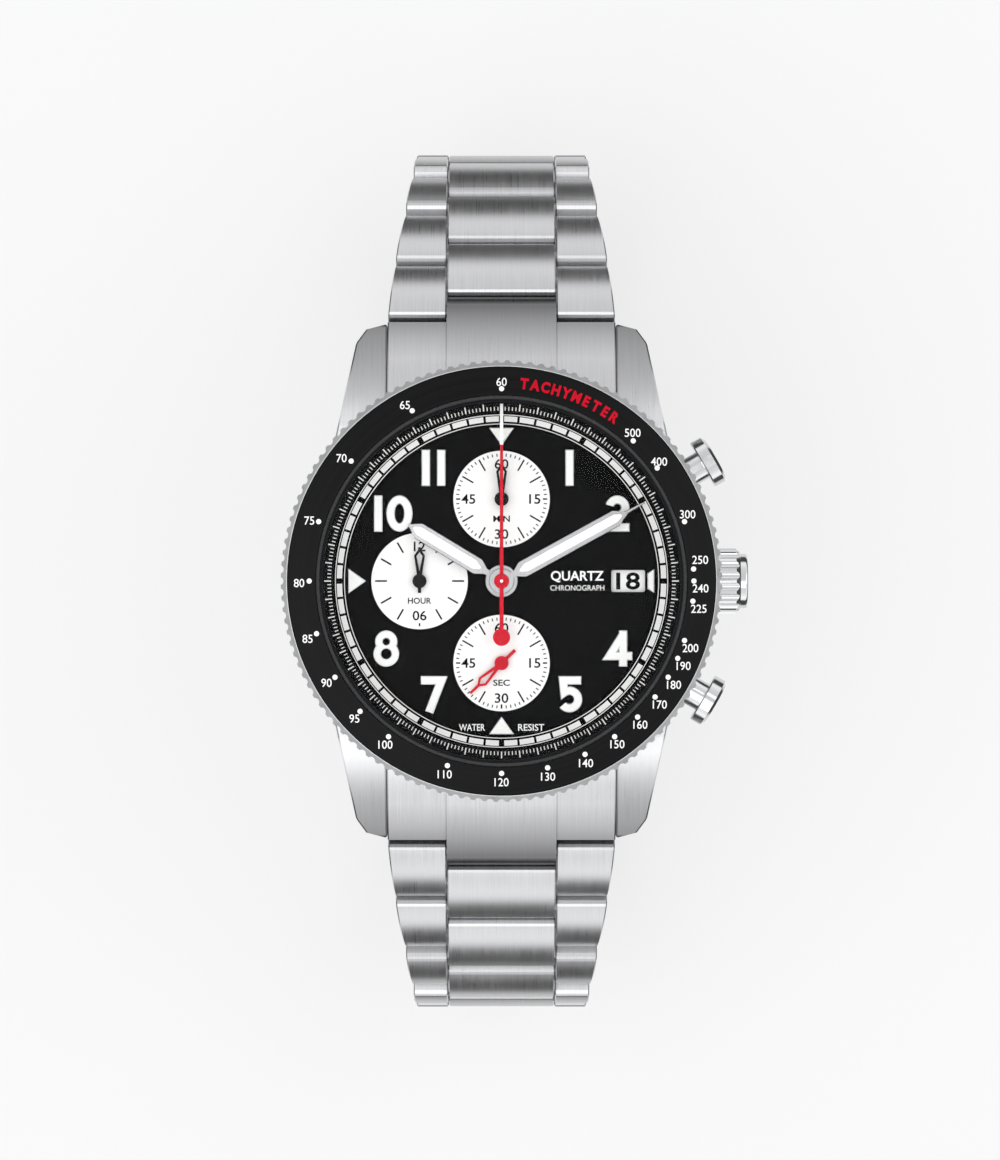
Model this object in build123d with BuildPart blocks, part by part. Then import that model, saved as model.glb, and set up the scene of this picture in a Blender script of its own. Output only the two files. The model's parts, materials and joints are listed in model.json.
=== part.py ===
"""Chronograph wristwatch with a folding clasp: case, quartz movement, hands, crown, pushers and steel bracelet.

Frame: the origin is the centre of the case back's outer face. +Z points out of the dial, +Y to 12 o'clock
and +X to 3 o'clock, where the crown is. The bracelet is closed in a loop below the case. Millimetres.
"""

from build123d import *
from math import cos, radians, sin, sqrt
import os

os.makedirs("parts", exist_ok=True)

# ---- Clearances ----
RUN = 0.05        # radial clearance of a pin, hand pipe or button that moves in its hole
PRESS = 0.01      # radial clearance of a pin or tube that is pressed or glued in
SEAT = 0.03       # clearance of a piece that sits in a recess
LINK_GAP = 0.10   # gap between the ends of neighbouring links
SIDE_GAP = 0.06   # gap between the flanks of neighbouring link pieces

# ---- Case, in radii and heights ----
CASE_R = 20.2
CAVITY_R = 16.5           # room for the movement
CASE_BOTTOM = 1.0         # the case back's plate is below this
CASE_TOP = 8.0            # shoulder that the bezel sits on
STEM_Z = 4.6              # height of the crown's and the pushers' axes
LUG_GAP = 22.2            # distance between the two lugs of a pair
LUG_TIP_Y = 24.9
LUG_TIP_Z = CASE_TOP - 3.38  # where the lug's top starts to round off
LUG_TIP_W = 2.0
LUG_ROOT_X = 16.2         # half width over the lugs where they leave the case
LUG_ROOT_Y = 12.8
BACK_R = 18.7
BACK_SCREW_CIRCLE = 17.75
BACK_BOSS_T = 0.9
BACK_SCREW_R = 0.5
BACK_HEAD_R = 0.8
GASKET_T = 0.4

# ---- Bezel, insert and crystal ----
BEZEL_R = 21.15
BEZEL_FLANK = 1.6         # height of the coin edge
BEZEL_TEETH = 120
TOOTH_CUT_R = 0.40
TOOTH_DEPTH = 0.26
INSERT_OUT_R = 20.52
INSERT_IN_R = 17.72
INSERT_T = 0.42
INSERT_RISE = 0.62        # how much higher the inner edge is than the outer one
CRYSTAL_R = 17.42
CRYSTAL_T = 1.7
CRYSTAL_CHAMFER = 0.35
LEDGE_R = 17.2            # the crystal rests on this ledge of the bezel
LEDGE_Z = CASE_TOP + 1.4

# ---- Dial ----
DIAL_R = 17.3
DIAL_T = 0.4
DIAL_TOP = CASE_TOP - 1.0
SUB_OFFSET = 7.9          # centre of each small dial
SUB_R = 4.68
SUB_RECESS = 0.16
SUB_PLATE_T = 0.10
DATE_X = 12.2             # centre of the date window
DATE_W, DATE_H = 3.26, 2.12
CHAPTER_IN_R = 16.25
CHAPTER_H = 1.7
MARK_T = 0.22             # thickness of the applied numerals
LUME_T = 0.06
NUMERAL_H = 3.5
NUMERAL_W = 0.82          # width of a numeral's stroke
NUMERAL_X, NUMERAL_Y = 6.55, 10.9
TRIANGLE_IN_R, TRIANGLE_OUT_R, TRIANGLE_HALF = 13.05, 14.75, 1.2

# ---- Hands: blade heights above the origin ----
HAND_T = 0.15
SUB_HAND_Z = DIAL_TOP + 0.28
HOUR_Z, MINUTE_Z, CHRONO_Z = DIAL_TOP + 0.70, DIAL_TOP + 1.10, DIAL_TOP + 1.50
HOUR_ANGLE, MINUTE_ANGLE = 301.2, 61.2   # clockwise from 12 o'clock
SECONDS_ANGLE = 226.0
CHRONO_ARBOR_R, MINUTE_PIPE_R, HOUR_PIPE_R = 0.40, 0.68, 0.96
PIPE_WALL = 0.20
SUB_ARBOR_R = 0.22

# ---- Movement ----
PLATE_R = 14.6
PLATE_Z0, PLATE_Z1 = 2.5, DIAL_TOP - 0.9
DATE_IN_R, DATE_OUT_R = 10.1, 14.1
DATE_Z, DATE_T = DIAL_TOP - 0.76, 0.16
BATTERY_R, BATTERY_T = 4.75, 2.05
BATTERY_POS = (-6.4, -6.6)
COIL_R, COIL_L = 0.95, 7.0
COILS = [(5.5, -8.5, 35.0), (4.5, 8.8, -30.0), (-8.2, 5.6, 60.0)]

# ---- Crown and pushers ----
CROWN_R, CROWN_L, CROWN_CAP_R, CROWN_CAP_L = 3.2, 2.45, 2.65, 0.70
CROWN_X = 20.6
CROWN_FLUTES = 18
FLUTE_R = 0.44
CROWN_BORE_R = 1.85
CROWN_TUBE_R = 1.28
CROWN_TUBE_END = 22.3
STEM_R = 0.55
PUSHER_ANGLE = 30.0
PUSHER_TUBE_R = 1.88
PUSHER_NECK_R = 1.42
PUSHER_STEM_R = 0.55
PUSHER_CAP_R, PUSHER_CAP_T = 2.45, 1.40
PUSHER_CAP_X = 22.45      # underside of the cap, from the case's axis
PUSHER_NECK_X = 19.2
PUSHER_TRAVEL = 1.0
SPRING_WIRE_R = 0.13
SPRING_TURNS = 4

# ---- Bracelet ----
PITCH = 7.0               # distance between the hinge pins of a link
LINK_R = 1.38             # half the thickness of a link, and the radius of its hinged end
LINK_CROWN = 0.30         # how much the outer face bulges
CENTRE_W = 10.6           # width of the centre pieces
ROLL = 0.62               # rounding of a piece's outer edge at the end nearer the case
PIN_R = 0.60
PRESS_PIN_R = 0.45
EDGE = 0.12               # polished bevel along the flanks
END_TILT = 15.0           # slope of the end link at its hinge
HINGE_1 = (26.2, 2.5)     # first hinge: distance from the case's axis, and height
SLOPES_12 = [37.1, 43.2, 58.5, 79.0, 101.0, 123.0, 145.0, 164.0, 180.0]
SLOPES_6 = SLOPES_12[:8]
HALF_WIDTHS = [11.0, 10.35, 9.45, 8.8, 8.6]   # over the outer pieces, from the case on

# ---- Clasp ----
COVER_HALF_W = 9.0
COVER_WALL = 0.6
COVER_T = 0.7
COVER_DROP = 2.2          # outer face of the cover below the hinge pins, at its ends
COVER_BULGE = 0.75
BLADE_T = 0.8
BLADE_OUTER_HALF_W = 6.6
BLADE_INNER_HALF_W = 7.1
KNUCKLE_R = 0.78
CLASP_PIN_R = 0.40
COVER_HINGE_INSET = 3.9   # from the cover's end hinge to the hinge of the outer blade
MIDDLE_HINGE_INSET = 5.8
BUTTON_L, BUTTON_H, BUTTON_PROUD = 5.0, 1.2, 0.55


def save(shape, name):
    """Labels a finished piece, or a group of solids, and writes it as one STEP file."""
    shape.label = name
    export_step(shape, f"parts/{name}.step")


def group(*shapes):
    """Several separate solids that go into one node."""
    solids = [s for shape in shapes for s in shape.solids()]
    return Compound(children=solids)


def turned(points):
    """A ring or disc: the closed outline of (radius, height) points, turned about Z."""
    with BuildPart() as body:
        with BuildSketch(Plane.XZ):
            with BuildLine():
                Polyline(*points, close=True)
            make_face()
        revolve(axis=Axis.Z)
    return body.part


def clock(angle, radius):
    """The point at an angle clockwise from 12 o'clock."""
    return (radius * sin(radians(angle)), radius * cos(radians(angle)))


def side_plane(distance, angle=0.0):
    """A plane across a radial axis at stem height, its normal pointing outwards."""
    a = radians(angle)
    normal = (cos(a), sin(a), 0)
    return Plane(origin=(distance * cos(a), distance * sin(a), STEM_Z), x_dir=(-sin(a), cos(a), 0), z_dir=normal)


# =========================== case ===========================

def shoulder_arc(end):
    """The curve that the lugs' and end links' tops follow, from the case to a point (y, z)."""
    return ThreePointArc((15.0, CASE_TOP - 0.08), (20.5, CASE_TOP - 1.28), end)


def make_case():
    """Barrel with four lugs, bored for the movement, the crown's tube, two pushers and the spring bars."""
    lug_in = LUG_GAP / 2
    with BuildPart() as case:
        with BuildSketch(Plane.XY):
            for side, end in ((1, 1), (-1, 1), (1, -1), (-1, -1)):
                Polygon(
                    (side * lug_in, end * 10.0),
                    (side * lug_in, end * LUG_TIP_Y),
                    (side * (lug_in + LUG_TIP_W), end * (LUG_TIP_Y - 0.55)),
                    (side * (lug_in + LUG_TIP_W + 0.95), end * (LUG_TIP_Y - 1.9)),
                    (side * (lug_in + LUG_TIP_W + 1.35), end * (LUG_TIP_Y - 3.9)),
                    (side * LUG_ROOT_X, end * LUG_ROOT_Y),
                    (side * LUG_ROOT_X, end * 10.0),
                    align=None,
                )
        extrude(amount=CASE_TOP)
        with BuildSketch(Plane.YZ):
            with BuildLine():
                top = shoulder_arc((LUG_TIP_Y - 0.35, LUG_TIP_Z))
                tip = TangentArc(top @ 1, (LUG_TIP_Y, LUG_TIP_Z - 0.92), tangent=top % 1)
                low = Line(tip @ 1, (LUG_TIP_Y, 1.9))
                toe = ThreePointArc(low @ 1, (24.5, 0.95), (23.2, 0.62))
                Polyline(toe @ 1, (15.6, CASE_BOTTOM), (0, CASE_BOTTOM), (0, CASE_TOP - 0.08), top @ 0)
            make_face()
            mirror(about=Plane.YZ)
        extrude(amount=LUG_ROOT_X + 1, both=True, mode=Mode.INTERSECT)
        chamfer(
            case.edges().filter_by(lambda e: abs(e.center().Y) > 15 and e.center().Z > 3.0)
            .filter_by(lambda e: abs(e.tangent_at(0.5).X) < 0.9), 0.14
        )
        with BuildSketch(Plane.XZ):
            with BuildLine():
                Polyline(
                    (0, CASE_BOTTOM), (CASE_R - 1.0, CASE_BOTTOM), (CASE_R, CASE_BOTTOM + 1.2),
                    (CASE_R, CASE_TOP - 0.6), (CASE_R - 0.4, CASE_TOP), (0, CASE_TOP), close=True,
                )
            make_face()
        revolve(axis=Axis.Z)
        with BuildSketch(Plane.XY.offset(CASE_BOTTOM)):
            Circle(CAVITY_R)
        extrude(amount=CASE_TOP, mode=Mode.SUBTRACT)
        with BuildSketch(Plane.XY.offset(DIAL_TOP - DIAL_T)):
            Circle(DIAL_R + SEAT)
        extrude(amount=CASE_TOP, mode=Mode.SUBTRACT)
        with BuildSketch(Plane.XY.offset(CASE_BOTTOM)):
            Circle(CAVITY_R + 0.6)
        extrude(amount=GASKET_T, mode=Mode.SUBTRACT)
        for angle, radius in ((0, CROWN_TUBE_R), (PUSHER_ANGLE, PUSHER_TUBE_R), (-PUSHER_ANGLE, PUSHER_TUBE_R)):
            with BuildSketch(side_plane(CAVITY_R - 1.0, angle)):
                Circle(radius + PRESS)
            extrude(amount=6, mode=Mode.SUBTRACT)
        with BuildSketch(Plane.XY.offset(CASE_BOTTOM)):
            with PolarLocations(BACK_SCREW_CIRCLE, 4, 45):
                Circle(BACK_SCREW_R + SEAT)
        extrude(amount=2.4, mode=Mode.SUBTRACT)
        with BuildSketch(Plane.YZ):
            with Locations((BAR_Y, BAR_Z), (-BAR_Y, BAR_Z)):
                Circle(BAR_TIP_R + SEAT)
        extrude(amount=LUG_GAP / 2 + BAR_TIP_L + SEAT, both=True, mode=Mode.SUBTRACT)
    return case.part


BAR_Y, BAR_Z = 22.3, 3.0          # spring bar that holds the end link
BAR_R, BAR_TIP_R, BAR_TIP_L = 0.75, 0.40, 0.9


def make_spring_bar(y):
    """Telescopic bar between two lugs: a sleeve with a thin tip at each end."""
    with BuildPart() as bar:
        with BuildSketch(Plane.YZ):
            with Locations((y, BAR_Z)):
                Circle(BAR_R)
        extrude(amount=LUG_GAP / 2 - SEAT, both=True)
        with BuildSketch(Plane.YZ):
            with Locations((y, BAR_Z)):
                Circle(BAR_TIP_R)
        extrude(amount=LUG_GAP / 2 + BAR_TIP_L, both=True)
    return bar.part


def make_end_link(turn):
    """Fills the gap between two lugs. Its middle reaches out to carry the first link's hinge pin."""
    t = radians(END_TILT)
    y1, z1 = HINGE_1
    along, out = (cos(t), -sin(t)), (sin(t), cos(t))

    def at(u, n):
        return (y1 + u * along[0] + n * out[0], z1 + u * along[1] + n * out[1])

    with BuildPart() as body:
        with BuildSketch(Plane.YZ):
            with BuildLine():
                top = shoulder_arc(at(-LINK_R - LINK_GAP, 1.28))
                Polyline(top @ 1, at(-LINK_R - LINK_GAP, -LINK_R), (20.5, 1.25), (15.0, 1.5), top @ 0)
            make_face()
        extrude(amount=LUG_GAP / 2 - SIDE_GAP, both=True)
        flanks = body.faces().sort_by(Axis.X)
        chamfer(ShapeList([flanks[0], flanks[-1]]).edges().filter_by(lambda e: e.center().Z > 4), EDGE)
        with BuildSketch(Plane.XY.offset(3.0)):
            for side in (1, -1):
                with Locations((side * (CENTRE_W / 2 + SIDE_GAP / 2), 20)):
                    Rectangle(SIDE_GAP + 0.05, 20)
        groove = extrude(amount=CASE_TOP, mode=Mode.PRIVATE)
        with BuildSketch(Plane.YZ):
            with BuildLine():
                ridge = ThreePointArc((15.0, CASE_TOP - 0.36), (20.5, CASE_TOP - 1.55), at(-1.2, 0.95))
                Polyline(ridge @ 1, (30, 2.5), (30, CASE_TOP + 1), (15, CASE_TOP + 1), ridge @ 0)
            make_face()
        cap = extrude(amount=LUG_GAP, both=True, mode=Mode.PRIVATE)
        add(groove & cap, mode=Mode.SUBTRACT)
        with BuildSketch(Plane.YZ):
            with BuildLine():
                top = ThreePointArc((15.0, CASE_TOP - 0.08), (21.0, CASE_TOP - 1.18), at(0.35, 1.42))
                nose = TangentArc(top @ 1, at(LINK_R, 0.35), tangent=top % 1)
                end = ThreePointArc(nose @ 1, at(LINK_R * 0.707, -LINK_R * 0.707), at(0, -LINK_R))
                Polyline(end @ 1, (20.5, 1.25), (15.0, 1.5), top @ 0)
            make_face()
        extrude(amount=CENTRE_W / 2, both=True)
        with BuildSketch(Plane.YZ):
            with Locations((y1, z1)):
                Circle(PIN_R + RUN)
            with Locations((BAR_Y, BAR_Z)):
                Circle(BAR_R + SEAT)
        extrude(amount=LUG_GAP, both=True, mode=Mode.SUBTRACT)
        with BuildSketch(Plane.XY):
            Circle(CASE_R + 0.08)
        extrude(amount=CASE_TOP + 1, mode=Mode.SUBTRACT)
    return body.part.rotate(Axis.Z, turn)


def make_caseback():
    """Round plate with a boss that centres it in the case, held by four screws."""
    with BuildPart() as back:
        with BuildSketch():
            Circle(BACK_R)
        extrude(amount=CASE_BOTTOM)
        chamfer(back.edges().group_by(Axis.Z)[0], 0.35)
        with BuildSketch(Plane.XY.offset(CASE_BOTTOM)):
            Circle(CAVITY_R - SEAT)
            Circle(CAVITY_R - 1.2, mode=Mode.SUBTRACT)
        extrude(amount=BACK_BOSS_T)
        with Locations(Plane.XY.rotated((180, 0, 0))):
            with PolarLocations(BACK_SCREW_CIRCLE, 4, 45):
                CounterBoreHole(BACK_SCREW_R + SEAT, BACK_HEAD_R + SEAT, 0.55)
        with BuildSketch(Plane.XY):
            Circle(14.6)
            Circle(14.2, mode=Mode.SUBTRACT)
            Circle(10.6)
            Circle(10.3, mode=Mode.SUBTRACT)
        extrude(amount=0.12, mode=Mode.SUBTRACT)
    return back.part


def make_back_screw(x, y):
    """Slotted cheese-head screw."""
    head_z = 0.15
    with BuildPart() as screw:
        with Locations((x, y, head_z)):
            Cylinder(BACK_HEAD_R, 0.55 - head_z, align=(Align.CENTER, Align.CENTER, Align.MIN))
            Cylinder(BACK_SCREW_R, 2.6, align=(Align.CENTER, Align.CENTER, Align.MIN))
        with Locations((x, y, head_z)):
            Box(3, 0.3, 0.4, mode=Mode.SUBTRACT)
    return screw.part


# =========================== bezel and crystal ===========================

INSERT_OUT_Z = CASE_TOP + BEZEL_FLANK + 0.62   # top of the insert at its outer edge


def make_bezel():
    """Steel ring with a coin edge. It carries the crystal on an inner ledge and the insert on its top."""
    flank_top = CASE_TOP + BEZEL_FLANK
    floor_out = INSERT_OUT_Z - INSERT_T
    wall_r = INSERT_IN_R + 0.02
    with BuildPart() as bezel:
        add(turned([
            (LEDGE_R + 0.3, CASE_TOP), (BEZEL_R - 0.45, CASE_TOP), (BEZEL_R, CASE_TOP + 0.3),
            (BEZEL_R, flank_top), (BEZEL_R - 0.55, INSERT_OUT_Z - 0.02),
            (INSERT_OUT_R + SEAT, INSERT_OUT_Z - 0.02), (INSERT_OUT_R + SEAT, floor_out),
            (wall_r, floor_out + INSERT_RISE), (wall_r, LEDGE_Z), (LEDGE_R, LEDGE_Z),
            (LEDGE_R, LEDGE_Z - 0.5), (LEDGE_R + 0.3, LEDGE_Z - 0.8),
        ]))
        with BuildSketch(Plane.XY.offset(CASE_TOP - 0.1)):
            with PolarLocations(BEZEL_R + TOOTH_CUT_R - TOOTH_DEPTH, BEZEL_TEETH):
                Circle(TOOTH_CUT_R)
        extrude(amount=4, mode=Mode.SUBTRACT)
    return bezel.part


def make_insert():
    """Thin black ring that slopes up to the crystal."""
    top, low = INSERT_OUT_Z, INSERT_OUT_Z - INSERT_T + 0.02
    return turned([
        (INSERT_OUT_R, low), (INSERT_OUT_R, top - 0.06), (INSERT_OUT_R - 0.06, top),
        (INSERT_IN_R + 0.09, top + INSERT_RISE), (INSERT_IN_R + 0.04, top + INSERT_RISE - 0.05),
        (INSERT_IN_R + 0.04, low + INSERT_RISE),
    ])


def make_crystal():
    """Flat mineral glass with a bevelled edge."""
    with BuildPart() as glass:
        with BuildSketch(Plane.XY.offset(LEDGE_Z + 0.01)):
            Circle(CRYSTAL_R)
        extrude(amount=CRYSTAL_T)
        chamfer(glass.edges().group_by(Axis.Z)[-1], CRYSTAL_CHAMFER)
    return glass.part


def make_chapter_ring():
    """Sloping ring round the dial that carries the fifth-of-a-second scale."""
    z = DIAL_TOP + 0.01
    return turned([
        (CHAPTER_IN_R, z), (DIAL_R - 0.02, z), (DIAL_R - 0.02, z + CHAPTER_H),
        (DIAL_R - 0.16, z + CHAPTER_H), (CHAPTER_IN_R + 0.1, z + 0.5), (CHAPTER_IN_R, z + 0.4),
    ])


# =========================== dial ===========================

SUB_CENTRES = {"12": (0, SUB_OFFSET), "9": (-SUB_OFFSET, 0), "6": (0, -SUB_OFFSET)}


def make_dial():
    """Dial plate with recesses for three small dials, holes for the hands and a date window."""
    with BuildPart() as dial:
        with BuildSketch(Plane.XY.offset(DIAL_TOP - DIAL_T)):
            Circle(DIAL_R)
            Circle(HOUR_PIPE_R + 0.1, mode=Mode.SUBTRACT)
            with Locations((DATE_X, 0)):
                RectangleRounded(DATE_W, DATE_H, 0.2, mode=Mode.SUBTRACT)
            with Locations(*SUB_CENTRES.values()):
                Circle(SUB_ARBOR_R + 0.1, mode=Mode.SUBTRACT)
        extrude(amount=DIAL_T)
        with BuildSketch(Plane.XY.offset(DIAL_TOP)):
            with Locations(*SUB_CENTRES.values()):
                Circle(SUB_R)
        extrude(amount=-SUB_RECESS, mode=Mode.SUBTRACT)
        rim = dial.edges().filter_by(GeomType.CIRCLE).filter_by(lambda e: abs(e.radius - SUB_R) < 1e-3)
        chamfer(rim.group_by(Axis.Z)[-1], 0.08)
        window = dial.edges().group_by(Axis.Z)[-1].filter_by(lambda e: abs(e.center().X - DATE_X) < 1.7)
        chamfer(window.filter_by(lambda e: abs(e.center().Y) < 1.2), 0.12)
    return dial.part


def make_sub_plates():
    """Three thin white discs that lie in the dial's recesses."""
    with BuildPart() as plates:
        with BuildSketch(Plane.XY.offset(DIAL_TOP - SUB_RECESS + 0.005)):
            with Locations(*SUB_CENTRES.values()):
                Circle(SUB_R - SEAT)
                Circle(SUB_ARBOR_R + 0.1, mode=Mode.SUBTRACT)
        extrude(amount=SUB_PLATE_T)
    return plates.part


def bar(x, y, cut, height=NUMERAL_H):
    """A plain upright stroke, as in 1, 10 and 11. The outline is taken in by cut, as in all the numerals."""
    with Locations((x, y)):
        Rectangle(NUMERAL_W - 2 * cut, height - 2 * cut)


def numeral_2(x, y, cut):
    w, s = 2.35, NUMERAL_W / 2
    top, low = y + NUMERAL_H / 2 - s, y - NUMERAL_H / 2 + s
    r = w / 2 - s
    with BuildLine() as path:
        hook = CenterArc((x, top - r), r, 165 - 6 * cut, -200)
        foot = Line(hook @ 1, (x - w / 2 + s + 0.1, low))
        Line(foot @ 1, (x + w / 2 - cut, low))
    trace(path.line, NUMERAL_W - 2 * cut)


def numeral_4(x, y, cut):
    w, s = 2.7, NUMERAL_W / 2
    stem_x, arm_y = x + 0.45, y - 0.72
    with BuildLine() as slope:
        corner = Line((stem_x, y + NUMERAL_H / 2 - s), (x - w / 2 + 0.5, arm_y))
        Line(corner @ 1, (x + w / 2 - cut, arm_y))
    trace(slope.line, NUMERAL_W - 2 * cut)
    bar(stem_x, y, cut)


def numeral_5(x, y, cut):
    w, s, r = 2.45, NUMERAL_W / 2, 0.84
    top, centre_y = y + NUMERAL_H / 2 - s, y - NUMERAL_H / 2 + s + 0.84
    with BuildLine() as path:
        flag = Line((x + w / 2 - 0.1 - cut, top), (x - 0.62, top))
        bowl = CenterArc((x - 0.02, centre_y), r, 125, -265 + 6 * cut)
        Line(flag @ 1, bowl @ 0)
    trace(path.line, NUMERAL_W - 2 * cut)


def numeral_7(x, y, cut):
    w, s = 2.45, NUMERAL_W / 2
    top = y + NUMERAL_H / 2 - s
    with BuildLine() as path:
        flag = Line((x - w / 2 + cut, top), (x + w / 2 - s - 0.05, top))
        Line(flag @ 1, (x - 0.42, y - NUMERAL_H / 2 + cut))
    trace(path.line, NUMERAL_W - 2 * cut)


def numeral_8(x, y, cut):
    low_r, high_r = 1.24, 1.08
    centres = ((low_r, y - NUMERAL_H / 2 + low_r), (high_r, y + NUMERAL_H / 2 - high_r))
    for r, cy in centres:
        with Locations((x, cy)):
            Circle(r - cut)
    for r, cy in centres:
        with Locations((x, cy)):
            Circle(r - 0.74 + cut, mode=Mode.SUBTRACT)


def numeral_10(x, y, cut):
    bar(x - 1.42, y, cut)
    with Locations((x + 0.62, y)):
        Ellipse(1.27 - cut, NUMERAL_H / 2 - cut)
        Ellipse(1.27 - NUMERAL_W + cut, NUMERAL_H / 2 - NUMERAL_W + cut, mode=Mode.SUBTRACT)


def numeral_11(x, y, cut):
    bar(x - 0.74, y, cut)
    bar(x + 0.74, y, cut)


NUMERALS = [
    (bar, NUMERAL_X, NUMERAL_Y), (numeral_2, 11.15, 6.5), (numeral_4, 11.25, -6.5),
    (numeral_5, NUMERAL_X, -NUMERAL_Y), (numeral_7, -NUMERAL_X, -NUMERAL_Y), (numeral_8, -11.1, -6.5),
    (numeral_10, -10.45, 6.5), (numeral_11, -NUMERAL_X, NUMERAL_Y),
]


def triangle(angle, shrink=0.0):
    """Pointer at 12, 6 or 9 o'clock, its tip towards the centre."""
    inner, outer = TRIANGLE_IN_R + 2 * shrink, TRIANGLE_OUT_R - shrink
    half = TRIANGLE_HALF - 1.7 * shrink
    with Locations(Rotation(0, 0, -angle)):
        Polygon((0, inner), (half, outer), (-half, outer), align=None)


def date_marker(shrink=0.0):
    """Cut-short pointer outside the date window."""
    x0, x1 = DATE_X + DATE_W / 2 + 0.22 + shrink, TRIANGLE_OUT_R - 0.05 - shrink
    Polygon((x0, -0.75 + shrink), (x1, -1.15 + shrink), (x1, 1.15 - shrink), (x0, 0.75 - shrink), align=None)


def make_markers(shrink, z, thickness):
    """The applied hour numerals and pointers, or their luminous fill where shrink takes in the outline."""
    with BuildPart() as marks:
        for draw, x, y in NUMERALS:
            with BuildSketch(Plane.XY.offset(z)):
                draw(x, y, shrink)
            extrude(amount=thickness)
        with BuildSketch(Plane.XY.offset(z)):
            for angle in (0, 180, 270):
                triangle(angle, shrink)
            date_marker(shrink)
        extrude(amount=thickness)
    return marks.part


# =========================== hands ===========================

def make_baton(length, needle, z, hub_r, pipe_r, angle, pipe_low, width=1.62):
    """Hour or minute hand: a baton with pointed ends on a round hub, with the pipe that it is pressed on."""
    neck, start = hub_r + 0.25, hub_r + 1.15
    end = length - needle - 0.95
    half = width / 2
    with BuildPart() as hand:
        with BuildSketch(Plane.XY.offset(z)):
            Circle(hub_r)
            Polygon(
                (-0.28, 0.5), (-0.28, neck), (-half, start), (-half, end), (-0.17, end + 0.95),
                (-0.09, length), (0.09, length), (0.17, end + 0.95), (half, end), (half, start),
                (0.28, neck), (0.28, 0.5), align=None,
            )
        extrude(amount=HAND_T)
        chamfer(hand.edges().group_by(Axis.Z)[-1].filter_by(lambda e: e.length > 2), 0.05)
        with BuildSketch(Plane.XY.offset(pipe_low)):
            Circle(pipe_r)
        extrude(amount=z + HAND_T - pipe_low)
        with BuildSketch(Plane.XY.offset(pipe_low)):
            Circle(pipe_r - PIPE_WALL)
        extrude(amount=3, mode=Mode.SUBTRACT)
    return hand.part.rotate(Axis.Z, -angle)


CHRONO_TIP, CHRONO_TAIL, CHRONO_WEIGHT_R = 17.0, 5.4, 0.83


def make_chrono_hand():
    """Thin centre hand with a round counterweight, on its own arbor."""
    with BuildPart() as hand:
        with BuildSketch(Plane.XY.offset(CHRONO_Z)):
            Polygon((-0.2, -CHRONO_TAIL), (0.2, -CHRONO_TAIL), (0.13, CHRONO_TIP), (-0.13, CHRONO_TIP), align=None)
            with Locations((0, -CHRONO_TAIL)):
                Circle(CHRONO_WEIGHT_R)
        extrude(amount=HAND_T - 0.03)
        with BuildSketch(Plane.XY.offset(CHRONO_Z - 0.02)):
            Circle(0.72)
        extrude(amount=0.36)
        chamfer(hand.edges().group_by(Axis.Z)[-1], 0.08)
        with BuildSketch(Plane.XY.offset(PLATE_Z1 - 0.2)):
            Circle(CHRONO_ARBOR_R)
        extrude(amount=CHRONO_Z - PLATE_Z1 + 0.3)
        with BuildSketch(Plane.XY.offset(CHRONO_Z + 0.34)):
            Circle(0.26)
            Circle(0.16, mode=Mode.SUBTRACT)
        extrude(amount=-0.08, mode=Mode.SUBTRACT)
    return hand.part


def make_sub_hand(centre, angle, length, needle, tail):
    """Small skeleton hand: a leaf-shaped loop with a short tail, on an arbor."""
    x, y = centre
    tip = length - needle
    with BuildPart() as hand:
        with BuildSketch(Plane.XY.offset(SUB_HAND_Z)):
            Polygon((-0.16, 0), (-0.52, tip - 0.55), (-0.14, tip), (-0.12, length), (0.12, length),
                    (0.14, tip), (0.52, tip - 0.55), (0.16, 0), align=None)
            Polygon((0, 0.95), (-0.29, tip - 0.6), (0, tip - 0.2), (0.29, tip - 0.6), align=None,
                    mode=Mode.SUBTRACT)
            Polygon((-0.16, 0), (-0.16, -tail), (0.16, -tail), (0.16, 0), align=None)
            Circle(0.68)
        extrude(amount=HAND_T - 0.03)
        with BuildSketch(Plane.XY.offset(PLATE_Z1 - 0.2)):
            Circle(SUB_ARBOR_R)
        extrude(amount=SUB_HAND_Z - PLATE_Z1 + 0.5)
    return hand.part.rotate(Axis.Z, -angle).translate((x, y, 0))


# =========================== movement ===========================

def make_main_plate():
    """Movement body with pockets for the battery and coils, pivot holes and the stem's bore."""
    coil_z = PLATE_Z0 + COIL_R + 0.15
    with BuildPart() as plate:
        with BuildSketch(Plane.XY.offset(PLATE_Z0)):
            Circle(PLATE_R)
        extrude(amount=PLATE_Z1 - PLATE_Z0)
        with BuildSketch(Plane.XY.offset(PLATE_Z0)):
            with Locations(BATTERY_POS):
                Circle(BATTERY_R + 0.1)
        extrude(amount=BATTERY_T + 0.1, mode=Mode.SUBTRACT)
        for x, y, turn in COILS:
            with BuildSketch(Plane.XY.offset(PLATE_Z0)):
                with Locations(Location((x, y, 0), (0, 0, turn))):
                    Rectangle(COIL_L + 1.2, 2 * COIL_R + 0.5)
            extrude(amount=coil_z - PLATE_Z0 + COIL_R + 0.2, mode=Mode.SUBTRACT)
        with BuildSketch(Plane.XY.offset(PLATE_Z1)):
            Circle(HOUR_PIPE_R + RUN)
        extrude(amount=-0.5, mode=Mode.SUBTRACT)
        with BuildSketch(Plane.XY.offset(PLATE_Z1)):
            with Locations(*SUB_CENTRES.values()):
                Circle(SUB_ARBOR_R + RUN)
        extrude(amount=-0.5, mode=Mode.SUBTRACT)
        with BuildSketch(side_plane(STEM_IN_X - 0.3)):
            Circle(STEM_R + 0.15)
        extrude(amount=12, mode=Mode.SUBTRACT)
    return plate.part


STEM_IN_X = 9.0


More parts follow.
